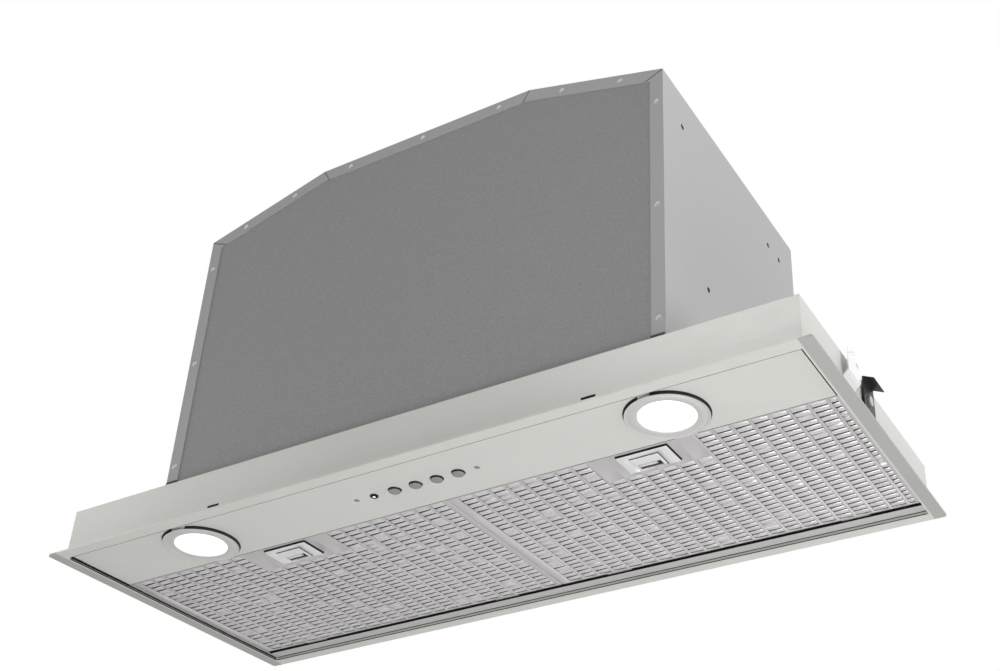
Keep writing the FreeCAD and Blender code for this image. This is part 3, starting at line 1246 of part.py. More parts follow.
def cable_gland():
    """Hexagon body and dome above the top sheet, lock nut below, bored right through."""
    x, y = -GLAND_SIDE, gland_y()
    hexagon = [V(x + GLAND_HEX / 2 * math.cos(math.radians(60 * corner)),
                 y + GLAND_HEX / 2 * math.sin(math.radians(60 * corner)), 0) for corner in range(6)]
    upper = polygon(hexagon).extrude(V(0, 0, GLAND_HEX_HEIGHT))
    upper.translate(V(0, 0, housing_top))
    nut = polygon(hexagon).extrude(V(0, 0, GLAND_NUT_HEIGHT))
    nut.translate(V(0, 0, inner_top - GLAND_NUT_HEIGHT))
    thread = cylinder_z(x, y, GLAND_THREAD / 2, inner_top - GLAND_NUT_HEIGHT, housing_top)
    dome_z = housing_top + GLAND_HEX_HEIGHT
    dome = cylinder_z(x, y, GLAND_DOME_DIAMETER / 2, dome_z, dome_z + GLAND_DOME_HEIGHT)
    crown = [edge for edge in dome.Edges
             if edge.BoundBox.ZMin > dome_z + GLAND_DOME_HEIGHT / 2 and edge.BoundBox.ZLength < PAST]
    dome = dome.makeFillet((GLAND_DOME_DIAMETER - GLAND_BORE) / 4, crown)
    bore = cylinder_z(x, y, GLAND_BORE / 2, inner_top - GLAND_NUT_HEIGHT - PAST,
                      dome_z + GLAND_DOME_HEIGHT + PAST)
    return join([upper, nut, thread, dome]).cut(bore)


# Spring clips and catch plates on the end walls

def clip_base(side):
    """Leaf held off the end wall by a pressed pad round its screw."""
    y0 = front_y + CLIP_SETBACK
    y1 = y0 + CLIP_WIDTH
    near = tray_x + CLIP_STANDOFF
    leaf = box(side * near, side * (near + CLIP_SHEET), y0, y1, CLIP_BOTTOM_RISE, TRAY_HEIGHT + CLIP_TOP_RISE)
    middle = (y0 + y1) / 2
    pad = cylinder_x(middle, CLIP_SCREW_RISE, CLIP_PAD_DIAMETER / 2,
                     *sorted((side * tray_x, side * (near + CLIP_SHEET / 2))))
    return join([leaf, pad]).cut(clip_screw_line(CLIP_SCREW_DIAMETER / 2 + SCREW_FIT,
                                                 near + CLIP_SHEET + PAST))


def clip_flap(side):
    """Sprung flap that bends out and down from the top of the leaf."""
    y0 = front_y + CLIP_SETBACK
    y1 = y0 + CLIP_WIDTH
    radius = CLIP_FLAP_ROLL / 2
    x = tray_x + CLIP_STANDOFF + CLIP_SHEET + CLIP_FLAP_GAP + radius
    z = TRAY_HEIGHT + CLIP_TOP_RISE - radius
    angle = math.radians(CLIP_FLAP_ANGLE)
    along = (math.cos(angle), -math.sin(angle))
    across = (math.sin(angle) * CLIP_FLAP_SHEET / 2, math.cos(angle) * CLIP_FLAP_SHEET / 2)
    tip = (x + along[0] * CLIP_FLAP_LENGTH, z + along[1] * CLIP_FLAP_LENGTH)
    section = [(side * (x + across[0]), z + across[1]), (side * (tip[0] + across[0]), tip[1] + across[1]),
               (side * (tip[0] - across[0]), tip[1] - across[1]), (side * (x - across[0]), z - across[1])]
    return join([sheet_along_y(section, y0, y1), cylinder_y(side * x, z, radius, y0, y1)])


def clip_screws():
    middle = front_y + CLIP_SETBACK + CLIP_WIDTH / 2
    head = tray_x + CLIP_STANDOFF + CLIP_SHEET
    screws = []
    for side in (-1, 1):
        flat = cylinder_x(middle, CLIP_SCREW_RISE, CLIP_SCREW_HEAD / 2,
                          *sorted((side * head, side * (head + CLIP_SCREW_HEAD_HEIGHT))))
        shank = cylinder_x(middle, CLIP_SCREW_RISE, CLIP_SCREW_DIAMETER / 2,
                           *sorted((side * (inside_x - CLIP_SCREW_TAIL), side * head)))
        screws.append(join([flat, shank]))
    return screws


def catch_plate(side):
    """Offset plate on the end wall with a slit and a small hook."""
    y0 = front_y + CATCH_SETBACK
    y1 = y0 + CATCH_WIDTH
    near, far = tray_x, tray_x + CATCH_STANDOFF
    foot_top = CATCH_FOOT_RISE + CATCH_FOOT_HEIGHT
    top = TRAY_HEIGHT + CATCH_TOP_RISE
    section = [(near, CATCH_FOOT_RISE), (near, foot_top), (far, foot_top + CATCH_BEND), (far, top),
               (far + CATCH_SHEET, top), (far + CATCH_SHEET, foot_top + CATCH_BEND - CATCH_SHEET / 2),
               (near + CATCH_SHEET, foot_top - CATCH_SHEET / 2), (near + CATCH_SHEET, CATCH_FOOT_RISE)]
    plate = sheet_along_y([(side * x, z) for x, z in section], y0, y1)
    hook = box(side * far, side * (far + CATCH_SHEET + CATCH_HOOK_REACH), y0 + CATCH_HOOK_WIDTH,
               y0 + 2 * CATCH_HOOK_WIDTH, top - CATCH_SHEET, top)
    slit_y = y0 + CATCH_SLIT_SETBACK
    slit = box(side * (far - PAST), side * (far + CATCH_SHEET + PAST), slit_y, slit_y + CATCH_SLIT_WIDTH,
               CATCH_SLIT_RISE, CATCH_SLIT_RISE + CATCH_SLIT_HEIGHT)
    return join([plate, hook]).cut(slit)


def save(name, solids):
    """Write one node: a single solid, or a group of separate ones."""
    shape = solids[0] if len(solids) == 1 else Part.makeCompound(solids)
    count = len(shape.Solids)
    box_text = " ".join(f"{value:.2f}" for value in (shape.BoundBox.XMin, shape.BoundBox.YMin,
                                                     shape.BoundBox.ZMin, shape.BoundBox.XMax,
                                                     shape.BoundBox.YMax, shape.BoundBox.ZMax))
    print(f"{name:24s} solids {count:2d} valid {shape.isValid()} volume {shape.Volume:12.1f} box {box_text}")
    shape.exportStep(f"parts/{name}.step")


def main():
    save("canopy_shell", [canopy_shell()])
    save("rear_ledge", [rear_ledge()])
    save("control_panel", [control_panel()])
    save("panel_brackets", [panel_bracket(side) for side in (-1, 1)])
    save("switch_housing", [switch_housing()])
    for number, x in enumerate(button_places(), 1):
        save(f"button_{number}", [button(x)])
    save("indicator_lens", [indicator_lens()])
    save("switch_screws", switch_screws())

    lamps = (("left", -LAMP_SPREAD / 2), ("right", LAMP_SPREAD / 2))
    for hand, x in lamps:
        save(f"lamp_bezel_{hand}", [lamp_bezel(x)])
        save(f"lamp_lens_{hand}", [lamp_lens(x)])
    save("lamp_cans", [lamp_can(x) for hand, x in lamps])
    save("lamp_boards", [lamp_board(x) for hand, x in lamps])
    save("lamp_clips", [lamp_clip(x, side) for hand, x in lamps for side in (-1, 1)])

    filters = (("left", -filter_end, seam_left, HANDLE_SHIFT_LEFT),
               ("right", seam_right, filter_end, HANDLE_SHIFT_RIGHT))
    for hand, x0, x1, shift in filters:
        hx = (x0 + x1) / 2 + shift
        save(f"filter_frame_{hand}", [filter_frame(x0, x1, hx)])
        save(f"filter_face_{hand}", [face_sheet(x0, x1, hx)])
        save(f"filter_mesh_{hand}", [mesh_layer(x0, x1, hx)])
        save(f"filter_back_{hand}", [back_sheet(x0, x1, hx)])
        save(f"filter_handle_{hand}", [filter_handle(hx)])
        save(f"filter_latch_{hand}", [latch(hx)])
        save(f"latch_spring_{hand}", [latch_spring(hx)])

    save("housing_wrap", housing_wrap())
    save("housing_front", [housing_end_panel(-1)])
    save("housing_back", [housing_end_panel(1)])
    save("housing_rivets", housing_rivets())
    save("foot_clips", foot_clips())

    save("outlet_plate", [outlet_plate()])
    save("outlet_collar", [outlet_collar()])
    save("damper_pin", [damper_pin()])
    save("damper_flap_left", [damper_flap(-1)])
    save("damper_flap_right", [damper_flap(1)])
    save("outlet_screws", outlet_screws())
    save("outlet_adapter", outlet_adapter())
    save("scroll_left", scroll_half(-1))
    save("scroll_right", scroll_half(1))
    save("impeller", impeller())
    save("impeller_blades", impeller_blades())
    save("motor_shaft", [motor_shaft()])
    save("motor", motor())
    save("motor_bracket", [motor_bracket()])
    save("motor_capacitor", [motor_capacitor()])
    save("electronics_box", [electronics_box()])
    save("circuit_board", [circuit_board()])
    save("cable_gland", [cable_gland()])

    save("clip_bases", [clip_base(side) for side in (-1, 1)])
    for hand, side in (("left", -1), ("right", 1)):
        save(f"clip_flap_{hand}", [clip_flap(side)])
    save("clip_screws", clip_screws())
    save("catch_plates", [catch_plate(side) for side in (-1, 1)])


main()
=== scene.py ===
"""Dressed model of a built-in range hood insert, seen from below and in front of its right end.

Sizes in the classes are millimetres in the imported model's frame; meshes are written in metres.
"""

from __future__ import annotations

import json
import logging
import math
import random
from dataclasses import dataclass
from enum import Enum
from typing import Callable, Iterable, Sequence

import bmesh
import bpy
from mathutils import Matrix, Vector


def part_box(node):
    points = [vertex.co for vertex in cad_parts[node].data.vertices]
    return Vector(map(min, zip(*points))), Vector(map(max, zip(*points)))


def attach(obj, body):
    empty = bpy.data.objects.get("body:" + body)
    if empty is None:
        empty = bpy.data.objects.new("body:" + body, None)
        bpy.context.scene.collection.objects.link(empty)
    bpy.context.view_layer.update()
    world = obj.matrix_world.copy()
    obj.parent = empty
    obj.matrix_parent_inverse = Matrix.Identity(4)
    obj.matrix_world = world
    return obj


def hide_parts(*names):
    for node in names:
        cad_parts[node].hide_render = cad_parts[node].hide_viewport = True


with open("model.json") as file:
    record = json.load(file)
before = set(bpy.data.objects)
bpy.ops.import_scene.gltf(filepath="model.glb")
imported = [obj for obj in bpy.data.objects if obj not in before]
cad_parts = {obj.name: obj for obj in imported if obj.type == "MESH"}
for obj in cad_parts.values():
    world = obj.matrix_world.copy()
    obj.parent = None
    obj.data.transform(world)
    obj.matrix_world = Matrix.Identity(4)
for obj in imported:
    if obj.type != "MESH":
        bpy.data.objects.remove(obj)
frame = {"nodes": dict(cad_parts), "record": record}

log = logging.getLogger("insert")
Pair = tuple[float, float]
Triple = tuple[float, float, float]
Socket = bpy.types.NodeSocket
Face = bmesh.types.BMFace
Edge = bmesh.types.BMEdge
MM = 0.001
FULL_TURN = 2 * math.pi
SHARP_ANGLE = 32.0
# Limits on a normal's Z: a flat face is beyond the first, a steep one is within the second.
FLAT = 0.99
STEEP = 0.75
# Heights that differ by less are the same.
NEAR = 0.01
# Material numbers: the dark finish of a small piece, painted shade on its walls and in its gaps, or the
# indicator's black sleeve; the filters' cells, lighter as painted light, and painted shade on the right
# filter's outer corner.
SHADE_OR_BLACK = 1
LIT_CELL_FACES, SHADED_END = 1, 2
# The points of a quarter round, as inset and rise in shares of its radius.
ROUND = ((0.0, 1.0), (0.1, 0.4), (0.4, 0.1), (1.0, 0.0))


class Side(Enum):
    """The two ends of the insert; the value is the sign of X."""

    LEFT = -1
    RIGHT = 1

    @property
    def word(self) -> str:
        """The side's name as the nodes spell it."""
        return self.name.lower()


class Grain(Enum):
    """The way that a sheet's brushing runs, as the stretch of its pattern along X, Y and Z."""

    ALONG_X = (0.03, 1.0, 1.0)
    NONE = (1.0, 1.0, 1.0)


# ---------------------------------------------------------------------------------- finishes


class Recipe:
    """One material under construction: a principled shader and the nodes that feed it."""

    def __init__(self, name: str, roughness: float, metallic: float) -> None:
        """Starts the material.

        Args:
            name: The material's name.
            roughness: The shader's roughness where no pattern changes it.
            metallic: How much of the surface is bare metal, from 0 to 1.
        """
        self.material = bpy.data.materials.new(name)
        self.material.use_nodes = True
        self.tree = self.material.node_tree
        self.shader = self.tree.nodes["Principled BSDF"]
        self.shader.inputs["Roughness"].default_value = roughness
        self.shader.inputs["Metallic"].default_value = metallic

    def node(self, kind: str, links: dict | None = None, **settings: object) -> bpy.types.Node:
        """Adds a node.

        Args:
            kind: The node's type.
            links: Its inputs by name or number, each a socket or a value.
            settings: Its properties.

        Returns:
            The node.
        """
        made = self.tree.nodes.new(kind)
        for key, value in settings.items():
            setattr(made, key, value)
        for key, value in (links or {}).items():
            if isinstance(value, Socket):
                self.tree.links.new(value, made.inputs[key])
            else:
                made.inputs[key].default_value = value
        return made

    def place(self, stretch: Triple = (1.0, 1.0, 1.0)) -> Socket:
        """Gives the object's own coordinates, stretched by a factor along each axis."""
        coordinates = self.node("ShaderNodeTexCoord").outputs["Object"]
        return self.node("ShaderNodeMapping", {"Vector": coordinates, "Scale": stretch}).outputs[0]

    def noise(self, vector: Socket, scale: float, detail: float = 2.0) -> Socket:
        """Gives a noise between 0 and 1 with features of about 1 / scale metres."""
        links = {"Vector": vector, "Scale": scale, "Detail": detail}
        return self.node("ShaderNodeTexNoise", links).outputs["Fac"]

    def spread(self, value: Socket, low: float, high: float, source: Pair = (0.3, 0.7)) -> Socket:
        """Maps a pattern's own range onto another one.

        Args:
            value: The pattern.
            low: The result at the lower end.
            high: The result at the upper end.
            source: The two ends in the pattern.

        Returns:
            The result's socket.
        """
        links = {"Value": value, "From Min": source[0], "From Max": source[1], "To Min": low, "To Max": high}
        return self.node("ShaderNodeMapRange", links).outputs["Result"]

    def times(self, first: object, second: object) -> Socket:
        """Multiplies two values."""
        return self.node("ShaderNodeMath", {0: first, 1: second}, operation="MULTIPLY").outputs[0]

    def shade(self, colour: Triple, factor: Socket) -> None:
        """Feeds the base colour with one colour whose brightness follows a pattern around 1."""
        made = self.node("ShaderNodeVectorMath", {0: colour, 1: factor}, operation="MULTIPLY")
        self.feed("Base Color", made.outputs[0])

    def feed(self, name: str, value: Socket) -> None:
        """Links a pattern to one of the shader's inputs."""
        self.tree.links.new(value, self.shader.inputs[name])

    def relief(self, height: Socket, depth: float, edge: float = 0.0) -> None:
        """Feeds the shader's normal with a fine relief over softened edges.

        Args:
            height: The pattern, from 0 to 1.
            depth: The height of the relief in millimetres.
            edge: The radius that edges are softened to in millimetres, or 0 for none.
        """
        links = {"Height": height, "Strength": 1.0, "Distance": depth * MM}
        if edge:
            links["Normal"] = self.node("ShaderNodeBevel", {"Radius": edge * MM}, samples=4).outputs[0]
        self.feed("Normal", self.node("ShaderNodeBump", links).outputs[0])


@dataclass(frozen=True)
class Finish:
    """A finish with a fine grain: the common base of all the others."""

    name: str
    colour: Triple
    roughness: float
    metallic: float = 0.0
    grain: Grain = Grain.NONE
    grain_size: float = 1.0
    contrast: float = 0.05
    relief: float = 0.01
    soft_edge: float = 0.0
    shine: float = 0.5
    wear: float = 0.15

    def pattern(self, recipe: Recipe) -> tuple[Socket, Socket]:
        """Builds the pattern.

        Args:
            recipe: The material under construction.

        Returns:
            The brightness around 1, and the height from 0 to 1.
        """
        fine = recipe.noise(recipe.place(self.grain.value), 1 / (self.grain_size * MM), 3.0)
        return recipe.spread(fine, 1 - self.contrast, 1 + self.contrast), fine

    def material(self) -> bpy.types.Material:
        """Builds the material.

        Returns:
            The finished material.
        """
        recipe = Recipe(self.name, self.roughness, self.metallic)
        factor, height = self.pattern(recipe)
        recipe.shade(self.colour, factor)
        low, high = self.roughness * (1 - self.wear), self.roughness * (1 + self.wear)
        recipe.feed("Roughness", recipe.spread(height, low, high))
        recipe.relief(height, self.relief, self.soft_edge)
        recipe.shader.inputs["Specular IOR Level"].default_value = self.shine
        self.finish(recipe)
        return recipe.material

    def finish(self, recipe: Recipe) -> None:
        """Sets what only one kind of finish has; the base sets nothing."""


@dataclass(frozen=True)
class BrushedSheet(Finish):
    """Satin stainless sheet: long fine scratches over broad, faint unevenness."""

    cloud_scale: float = 14.0
    cloud: float = 0.015
    strip_start: float = 339.5
    strip_blur: float = 0.5
    painted_strip_shade: float = 1.0

    def pattern(self, recipe: Recipe) -> tuple[Socket, Socket]:
        """Builds the scratches, the broad unevenness and, where they differ, the end strips darkened as
        painted shade.

        Args:
            recipe: The material under construction.

        Returns:
            The brightness around 1, and the height from 0 to 1.
        """
        scratches = recipe.noise(recipe.place(self.grain.value), 1 / (self.grain_size * MM), 4.0)
        cloud = recipe.noise(recipe.place(), self.cloud_scale, 1.0)
        fine = recipe.spread(scratches, 1 - self.contrast, 1 + self.contrast)
        factor = recipe.times(fine, recipe.spread(cloud, 1 - self.cloud, 1 + self.cloud))
        # Darkens the flange's end strips beyond the tray: painted shade.
        if self.painted_strip_shade < 1.0:
            split = recipe.node("ShaderNodeSeparateXYZ", {0: recipe.place()})
            reach = recipe.node("ShaderNodeMath", {0: split.outputs[0]}, operation="ABSOLUTE").outputs[0]
            edge = (self.strip_start * MM, (self.strip_start + self.strip_blur) * MM)
            factor = recipe.times(factor, recipe.spread(reach, 1.0, self.painted_strip_shade, edge))
        return factor, scratches


@dataclass(frozen=True)
class ZincSheet(Finish):
    """Galvanised sheet: fine matt speckle and faint spangles."""

    spangle_size: float = 5.0
    spangle: float = 0.006

    def pattern(self, recipe: Recipe) -> tuple[Socket, Socket]:
        """Builds the speckle and the spangles.

        Args:
            recipe: The material under construction.

        Returns:
            The brightness around 1, and the height from 0 to 1.
        """
        vector = recipe.place()
        speckle = recipe.noise(vector, 1 / (self.grain_size * MM), 4.0)
        links = {"Vector": vector, "Scale": 1 / (self.spangle_size * MM)}
        cells = recipe.node("ShaderNodeTexVoronoi", links).outputs["Color"]
        spangle = recipe.node("ShaderNodeSeparateColor", {0: cells}).outputs[0]
        fine = recipe.spread(speckle, 1 - self.contrast, 1 + self.contrast)
        broad = recipe.spread(spangle, 1 - self.spangle, 1 + self.spangle, (0.0, 1.0))
        return recipe.times(fine, broad), speckle


@dataclass(frozen=True)
class GlowingLens(Finish):
    """Frosted lens lit from behind."""

    light: Triple = (1.0, 1.0, 0.98)
    glow: float = 1.0

    def finish(self, recipe: Recipe) -> None:
        """Sets the light that leaves the lens."""
        recipe.shader.inputs["Emission Color"].default_value = (*self.light, 1.0)
        recipe.shader.inputs["Emission Strength"].default_value = self.glow


@dataclass(frozen=True)
class ClearPlastic(Finish):
    """Clear moulded plastic."""

    clearness: float = 0.6
    refraction: float = 1.49

    def finish(self, recipe: Recipe) -> None:
        """Lets light through."""
        recipe.shader.inputs["Transmission Weight"].default_value = self.clearness
        recipe.shader.inputs["IOR"].default_value = self.refraction


PANEL_STEEL = BrushedSheet("steel_satin", (0.64, 0.645, 0.61), 0.42, 0.35, Grain.ALONG_X, grain_size=0.5,
                           contrast=0.03, relief=0.003, soft_edge=0.3, painted_strip_shade=0.66)
# The rear ledge: a darker copy of the panel steel, painted shade in the recess behind the filters.
LEDGE_SHADE_STEEL = BrushedSheet("painted_shade_ledge", (0.52, 0.52, 0.505), 0.42, 0.35, Grain.ALONG_X, grain_size=0.5,
                           contrast=0.03, relief=0.003, soft_edge=0.3)
HANDLE_METAL = BrushedSheet("handle_metal", (0.84, 0.83, 0.83), 0.35, 0.5, Grain.ALONG_X, grain_size=0.5,
                            contrast=0.02, relief=0.001)
RING_METAL = BrushedSheet("bezel_chrome", (0.66, 0.66, 0.645), 0.35, 0.5, grain_size=0.7, contrast=0.008,
                          relief=0.0003)
ZINC = ZincSheet("galvanised", (0.45, 0.45, 0.45), 0.55, 0.2, grain_size=0.5, contrast=0.03, relief=0.0008,
                 soft_edge=0.3)
# The housing's front and back: a darker, coarser-grained copy of the galvanised sheet, its darkness painted
# shade on the faces turned from the light.
SHADED_ZINC_GRAIN = ZincSheet("zinc_grain_painted_shade", (0.395, 0.395, 0.395), 0.6, 0.12, grain_size=0.75, contrast=0.2,
                         relief=0.003, shine=0.3)
# The catch plates: a near-white copy of the galvanised sheet, painted light from the strong lamp on the right.
LIT_ZINC = ZincSheet("painted_light_zinc", (0.88, 0.88, 0.88), 0.4, 0.4, grain_size=0.8, contrast=0.05,
                        relief=0.002, soft_edge=0.2)
FILTER_METAL = Finish("filter_aluminium", (0.54, 0.515, 0.52), 0.4, 0.4, grain_size=0.9, relief=0.004)
# The louvre cells: a lighter copy of the filter aluminium, painted light caught by the rounded cells.
CELL_LIGHT_METAL = Finish("painted_light_cells", (0.70, 0.68, 0.685), 0.35, 0.5, contrast=0.15, relief=0.02)
# The mesh behind the front is near black: painted shade seen through the open slots of the louvres.
MESH_SHADE_METAL = Finish("mesh_aluminium", (0.03, 0.03, 0.032), 0.5, grain_size=1.5, contrast=0.5, relief=0.05,
                    shine=0.1)
# Near black for the walls of the latch plates and lamp rings, the finger slots and the right filter's outer
# corner: painted shade.
SHADE_METAL = Finish("painted_shade_edge", (0.025, 0.027, 0.024), 0.5, contrast=0.25, relief=0.002, shine=0.12)
# Black: painted shade in the gaps round the lamps, buttons and latches, on the buttons' side walls and along
# the panel's joints, and the indicator's black sleeve.
BLACK_AND_SHADE = Finish("black_and_painted_shade", (0.015, 0.016, 0.015), 0.6, grain_size=0.7, contrast=0.2, relief=0.003,
                shine=0.1)
LENS = GlowingLens("lens_white", (0.92, 0.92, 0.91), 0.4, grain_size=0.6, contrast=0.02, relief=0.0005)
BLACK_PLASTIC = Finish("plastic_black", (0.03, 0.03, 0.032), 0.5, grain_size=0.5, contrast=0.15, relief=0.004)
GREY_PLASTIC = Finish("plastic_grey", (0.25, 0.255, 0.255), 0.25, 0.2, grain_size=0.6, contrast=0.12,
                      relief=0.006)
CLEAR_PLASTIC = ClearPlastic("lens_clear", (0.75, 0.76, 0.74), 0.25, grain_size=0.6, contrast=0.04,
                             relief=0.002)
ZINC_SCREW = Finish("screw_zinc", (0.52, 0.52, 0.52), 0.4, 0.5, grain_size=0.4, contrast=0.08, relief=0.004)
# The switch's screws: a darker copy of the zinc screws, painted shade in their recesses.
SHADED_SCREW = Finish("painted_shade_screw", (0.20, 0.20, 0.20), 0.45, 0.2, grain_size=0.4, contrast=0.15, relief=0.004)
SPRING = Finish("spring_steel", (0.028, 0.029, 0.029), 0.42, 0.1, grain_size=0.9, contrast=0.25,
                relief=0.004, shine=0.3)
BOARD = Finish("board_green", (0.02, 0.10, 0.045), 0.45, grain_size=2.0, contrast=0.2, relief=0.004)
WHEEL_PLASTIC = Finish("wheel_plastic", (0.05, 0.05, 0.055), 0.45, grain_size=0.8, contrast=0.1, relief=0.004)
ALLOY = Finish("motor_alloy", (0.42, 0.42, 0.43), 0.45, 0.7, grain_size=1.2, contrast=0.12)
SHAFT = Finish("shaft_steel", (0.5, 0.5, 0.5), 0.25, 1.0, Grain.ALONG_X, grain_size=0.3, relief=0.002)
CAPACITOR = Finish("capacitor_grey", (0.35, 0.36, 0.37), 0.5, relief=0.004)
FINISHES = (PANEL_STEEL, LEDGE_SHADE_STEEL, ZINC, SHADED_ZINC_GRAIN, LIT_ZINC, FILTER_METAL, CELL_LIGHT_METAL, MESH_SHADE_METAL,
            RING_METAL, HANDLE_METAL, SHADE_METAL, BLACK_AND_SHADE, LENS, BLACK_PLASTIC, GREY_PLASTIC, CLEAR_PLASTIC,
            ZINC_SCREW, SHADED_SCREW, SPRING, BOARD, WHEEL_PLASTIC, ALLOY, SHAFT, CAPACITOR)
OTHER_FINISHES = {"catch_plates": LIT_ZINC, "housing_front": SHADED_ZINC_GRAIN, "housing_back": SHADED_ZINC_GRAIN,
                  "rear_ledge": LEDGE_SHADE_STEEL, "switch_screws": SHADED_SCREW}


class Palette:
    """The finishes as materials, each built once."""

    def __init__(self, finishes: Iterable[Finish]) -> None:
        """Builds every finish's material."""
        self.materials = {finish.name: finish.material() for finish in finishes}

    def __getitem__(self, finish: Finish) -> bpy.types.Material:
        """The finish's material."""
        return self.materials[finish.name]

    def dress_nodes(self) -> None:
        """Gives every CAD node its own finish, or else the one of its slot in the record."""
        for part in frame["record"]["subparts"]:
            node = part["node"]
            name = OTHER_FINISHES[node].name if node in OTHER_FINISHES else part["material_slot"]
            for slot in frame["nodes"][node].material_slots:
                slot.material = self.materials[name]


# -------------------------------------------------------------------------------- mesh tools


def looks_down(face: Face) -> bool:
    """Whether a face looks straight down."""
    return face.normal.z < -FLAT


class Shape:
    """A bmesh in millimetres and the operations that the pieces share."""

    def __init__(self) -> None:
        """Starts an empty mesh."""
        self.bm = bmesh.new()

    def box(self, low: Triple, high: Triple) -> set[Face]:
        """Adds a box.

        Args:
            low: Its lowest corner.
            high: Its highest corner.

        Returns:
            Its six faces.
        """
        low_v, high_v = Vector(low), Vector(high)
        size = high_v - low_v
        matrix = Matrix.Translation((low_v + high_v) / 2) @ Matrix.Diagonal((*size, 1.0))
        verts = bmesh.ops.create_cube(self.bm, size=1.0, matrix=matrix)["verts"]
        return {face for vert in verts for face in vert.link_faces}

    def strip(self, low: Pair, high: Pair, height: float, rows: int = 1) -> list[Face]:
        """Adds a flat strip that looks down.

        Args:
            low: Its left front corner.
            high: Its right rear corner.
            height: Its height.
            rows: The number of faces along Y.

        Returns:
            The faces from front to rear.
        """
        middle = ((low[0] + high[0]) / 2, (low[1] + high[1]) / 2, height)
        halves = ((high[0] - low[0]) / 2, -(high[1] - low[1]) / 2, 1.0, 1.0)
        matrix = Matrix.Translation(middle) @ Matrix.Diagonal(halves)
        made = bmesh.ops.create_grid(self.bm, x_segments=1, y_segments=rows, size=1.0, matrix=matrix)
        faces = sorted({face for vert in made["verts"] for face in vert.link_faces},
                       key=lambda face: face.calc_center_median().y)
        for face in faces:
            face.normal_update()
            if face.normal.z > 0:
                face.normal_flip()
        return faces

    def faces(self, test: Callable[[Face], bool]) -> list[Face]:
        """The faces that pass a test, after their normals are worked out again."""
        self.bm.normal_update()
        return [face for face in self.bm.faces if test(face)]

    def edges(self, test: Callable[[Edge], bool]) -> list[Edge]:
        """The edges that pass a test."""
        return [edge for edge in self.bm.edges if test(edge)]

    def delete(self, faces: Sequence[Face]) -> None:
        """Removes faces with the edges and points that only they used."""
        bmesh.ops.delete(self.bm, geom=list(faces), context="FACES")

    def bevel(self, edges: Sequence[Edge], width: float, segments: int = 2) -> None:
        """Rounds edges.

        Args:
            edges: The edges.
            width: The width of the round.
            segments: The number of its facets.
        """
        bmesh.ops.bevel(self.bm, geom=list(edges), offset=width, offset_type="OFFSET", segments=segments,
                        profile=0.5, affect="EDGES", material=-1, clamp_overlap=True)

    def divide(self, across: Triple, places: Iterable[float]) -> None:
        """Divides the faces that look straight down.

        Args:
            across: The direction along which the places are measured.
            places: Where a plane cuts the faces.
        """
        for place in places:
            faces = self.faces(looks_down)
            geom = dict.fromkeys(part for face in faces for part in (face, *face.edges, *face.verts))
            bmesh.ops.bisect_plane(self.bm, geom=list(geom), dist=1e-5, plane_co=Vector(across) * place,
                                   plane_no=across)

    def open_box(self, low: Triple, high: Triple) -> None:
        """Adds a box without its top."""
        self.box(low, high)
        self.delete(self.faces(lambda face: face.normal.z > FLAT))

    def lathe(self, profile: Sequence[Pair], centre: Triple, steps: int) -> list[Face]:
        """Turns a profile round a vertical axis.

        Args:
            profile: Radius and height of each point.
            centre: A point on the axis, from which the heights are measured.
            steps: The number of steps in the full turn.

        Returns:
            The new faces.
        """
        known = set(self.bm.faces)
        axis = Vector(centre)
        verts = [self.bm.verts.new(axis + Vector((radius, 0.0, height))) for radius, height in profile]
        edges = [self.bm.edges.new(pair) for pair in zip(verts, verts[1:])]
        bmesh.ops.spin(self.bm, geom=verts + edges, cent=axis, axis=(0, 0, 1), angle=FULL_TURN, steps=steps,
                       use_merge=True, use_duplicate=False)
        turned = dict.fromkeys(vert for face in self.bm.faces if face not in known for vert in face.verts)
        bmesh.ops.remove_doubles(self.bm, verts=list(turned), dist=1e-4)
        faces = [face for face in self.bm.faces if face not in known]
        bmesh.ops.recalc_face_normals(self.bm, faces=faces)
        return faces

    def piece(self, name: str, finishes: Sequence[Finish], palette: Palette, body: str,
              nodes: Sequence[str] = (), slot: str = "") -> bpy.types.Object:
        """Makes the object, gives it its materials and parents it to the body that it rides on.

        Args:
            name: The object's name.
            finishes: The finishes in the order of the faces' material numbers.
            palette: The materials.
            body: The CAD body that it moves with.
            nodes: The CAD nodes that it stands for.
            slot: The record's material slot; not used.

        Returns:
            The object.
        """
        bmesh.ops.scale(self.bm, vec=(MM, MM, MM), verts=self.bm.verts)
        mesh = bpy.data.meshes.new(name)
        self.bm.to_mesh(mesh)
        self.bm.free()
        mesh.polygons.foreach_set("use_smooth", [True] * len(mesh.polygons))
        mesh.set_sharp_from_angle(angle=math.radians(SHARP_ANGLE))
        made = bpy.data.objects.new(name, mesh)
        bpy.context.scene.collection.objects.link(made)
        for finish in finishes:
            mesh.materials.append(palette[finish])
        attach(made, body)
        if nodes:
            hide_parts(*nodes)
        log.info("%s: %d faces, rides on %s", name, len(mesh.polygons), body)
        return made


def thicken(piece: bpy.types.Object, thickness: float) -> None:
    """Gives a one-sided sheet its thickness, inwards from its visible face.

    Args:
        piece: The sheet.
        thickness: Its thickness in millimetres.
    """
    modifier = piece.modifiers.new("sheet", "SOLIDIFY")
    modifier.thickness = thickness * MM
    modifier.offset = -1.0
    modifier.use_even_offset = True


# ------------------------------------------------------------------------------------ pieces


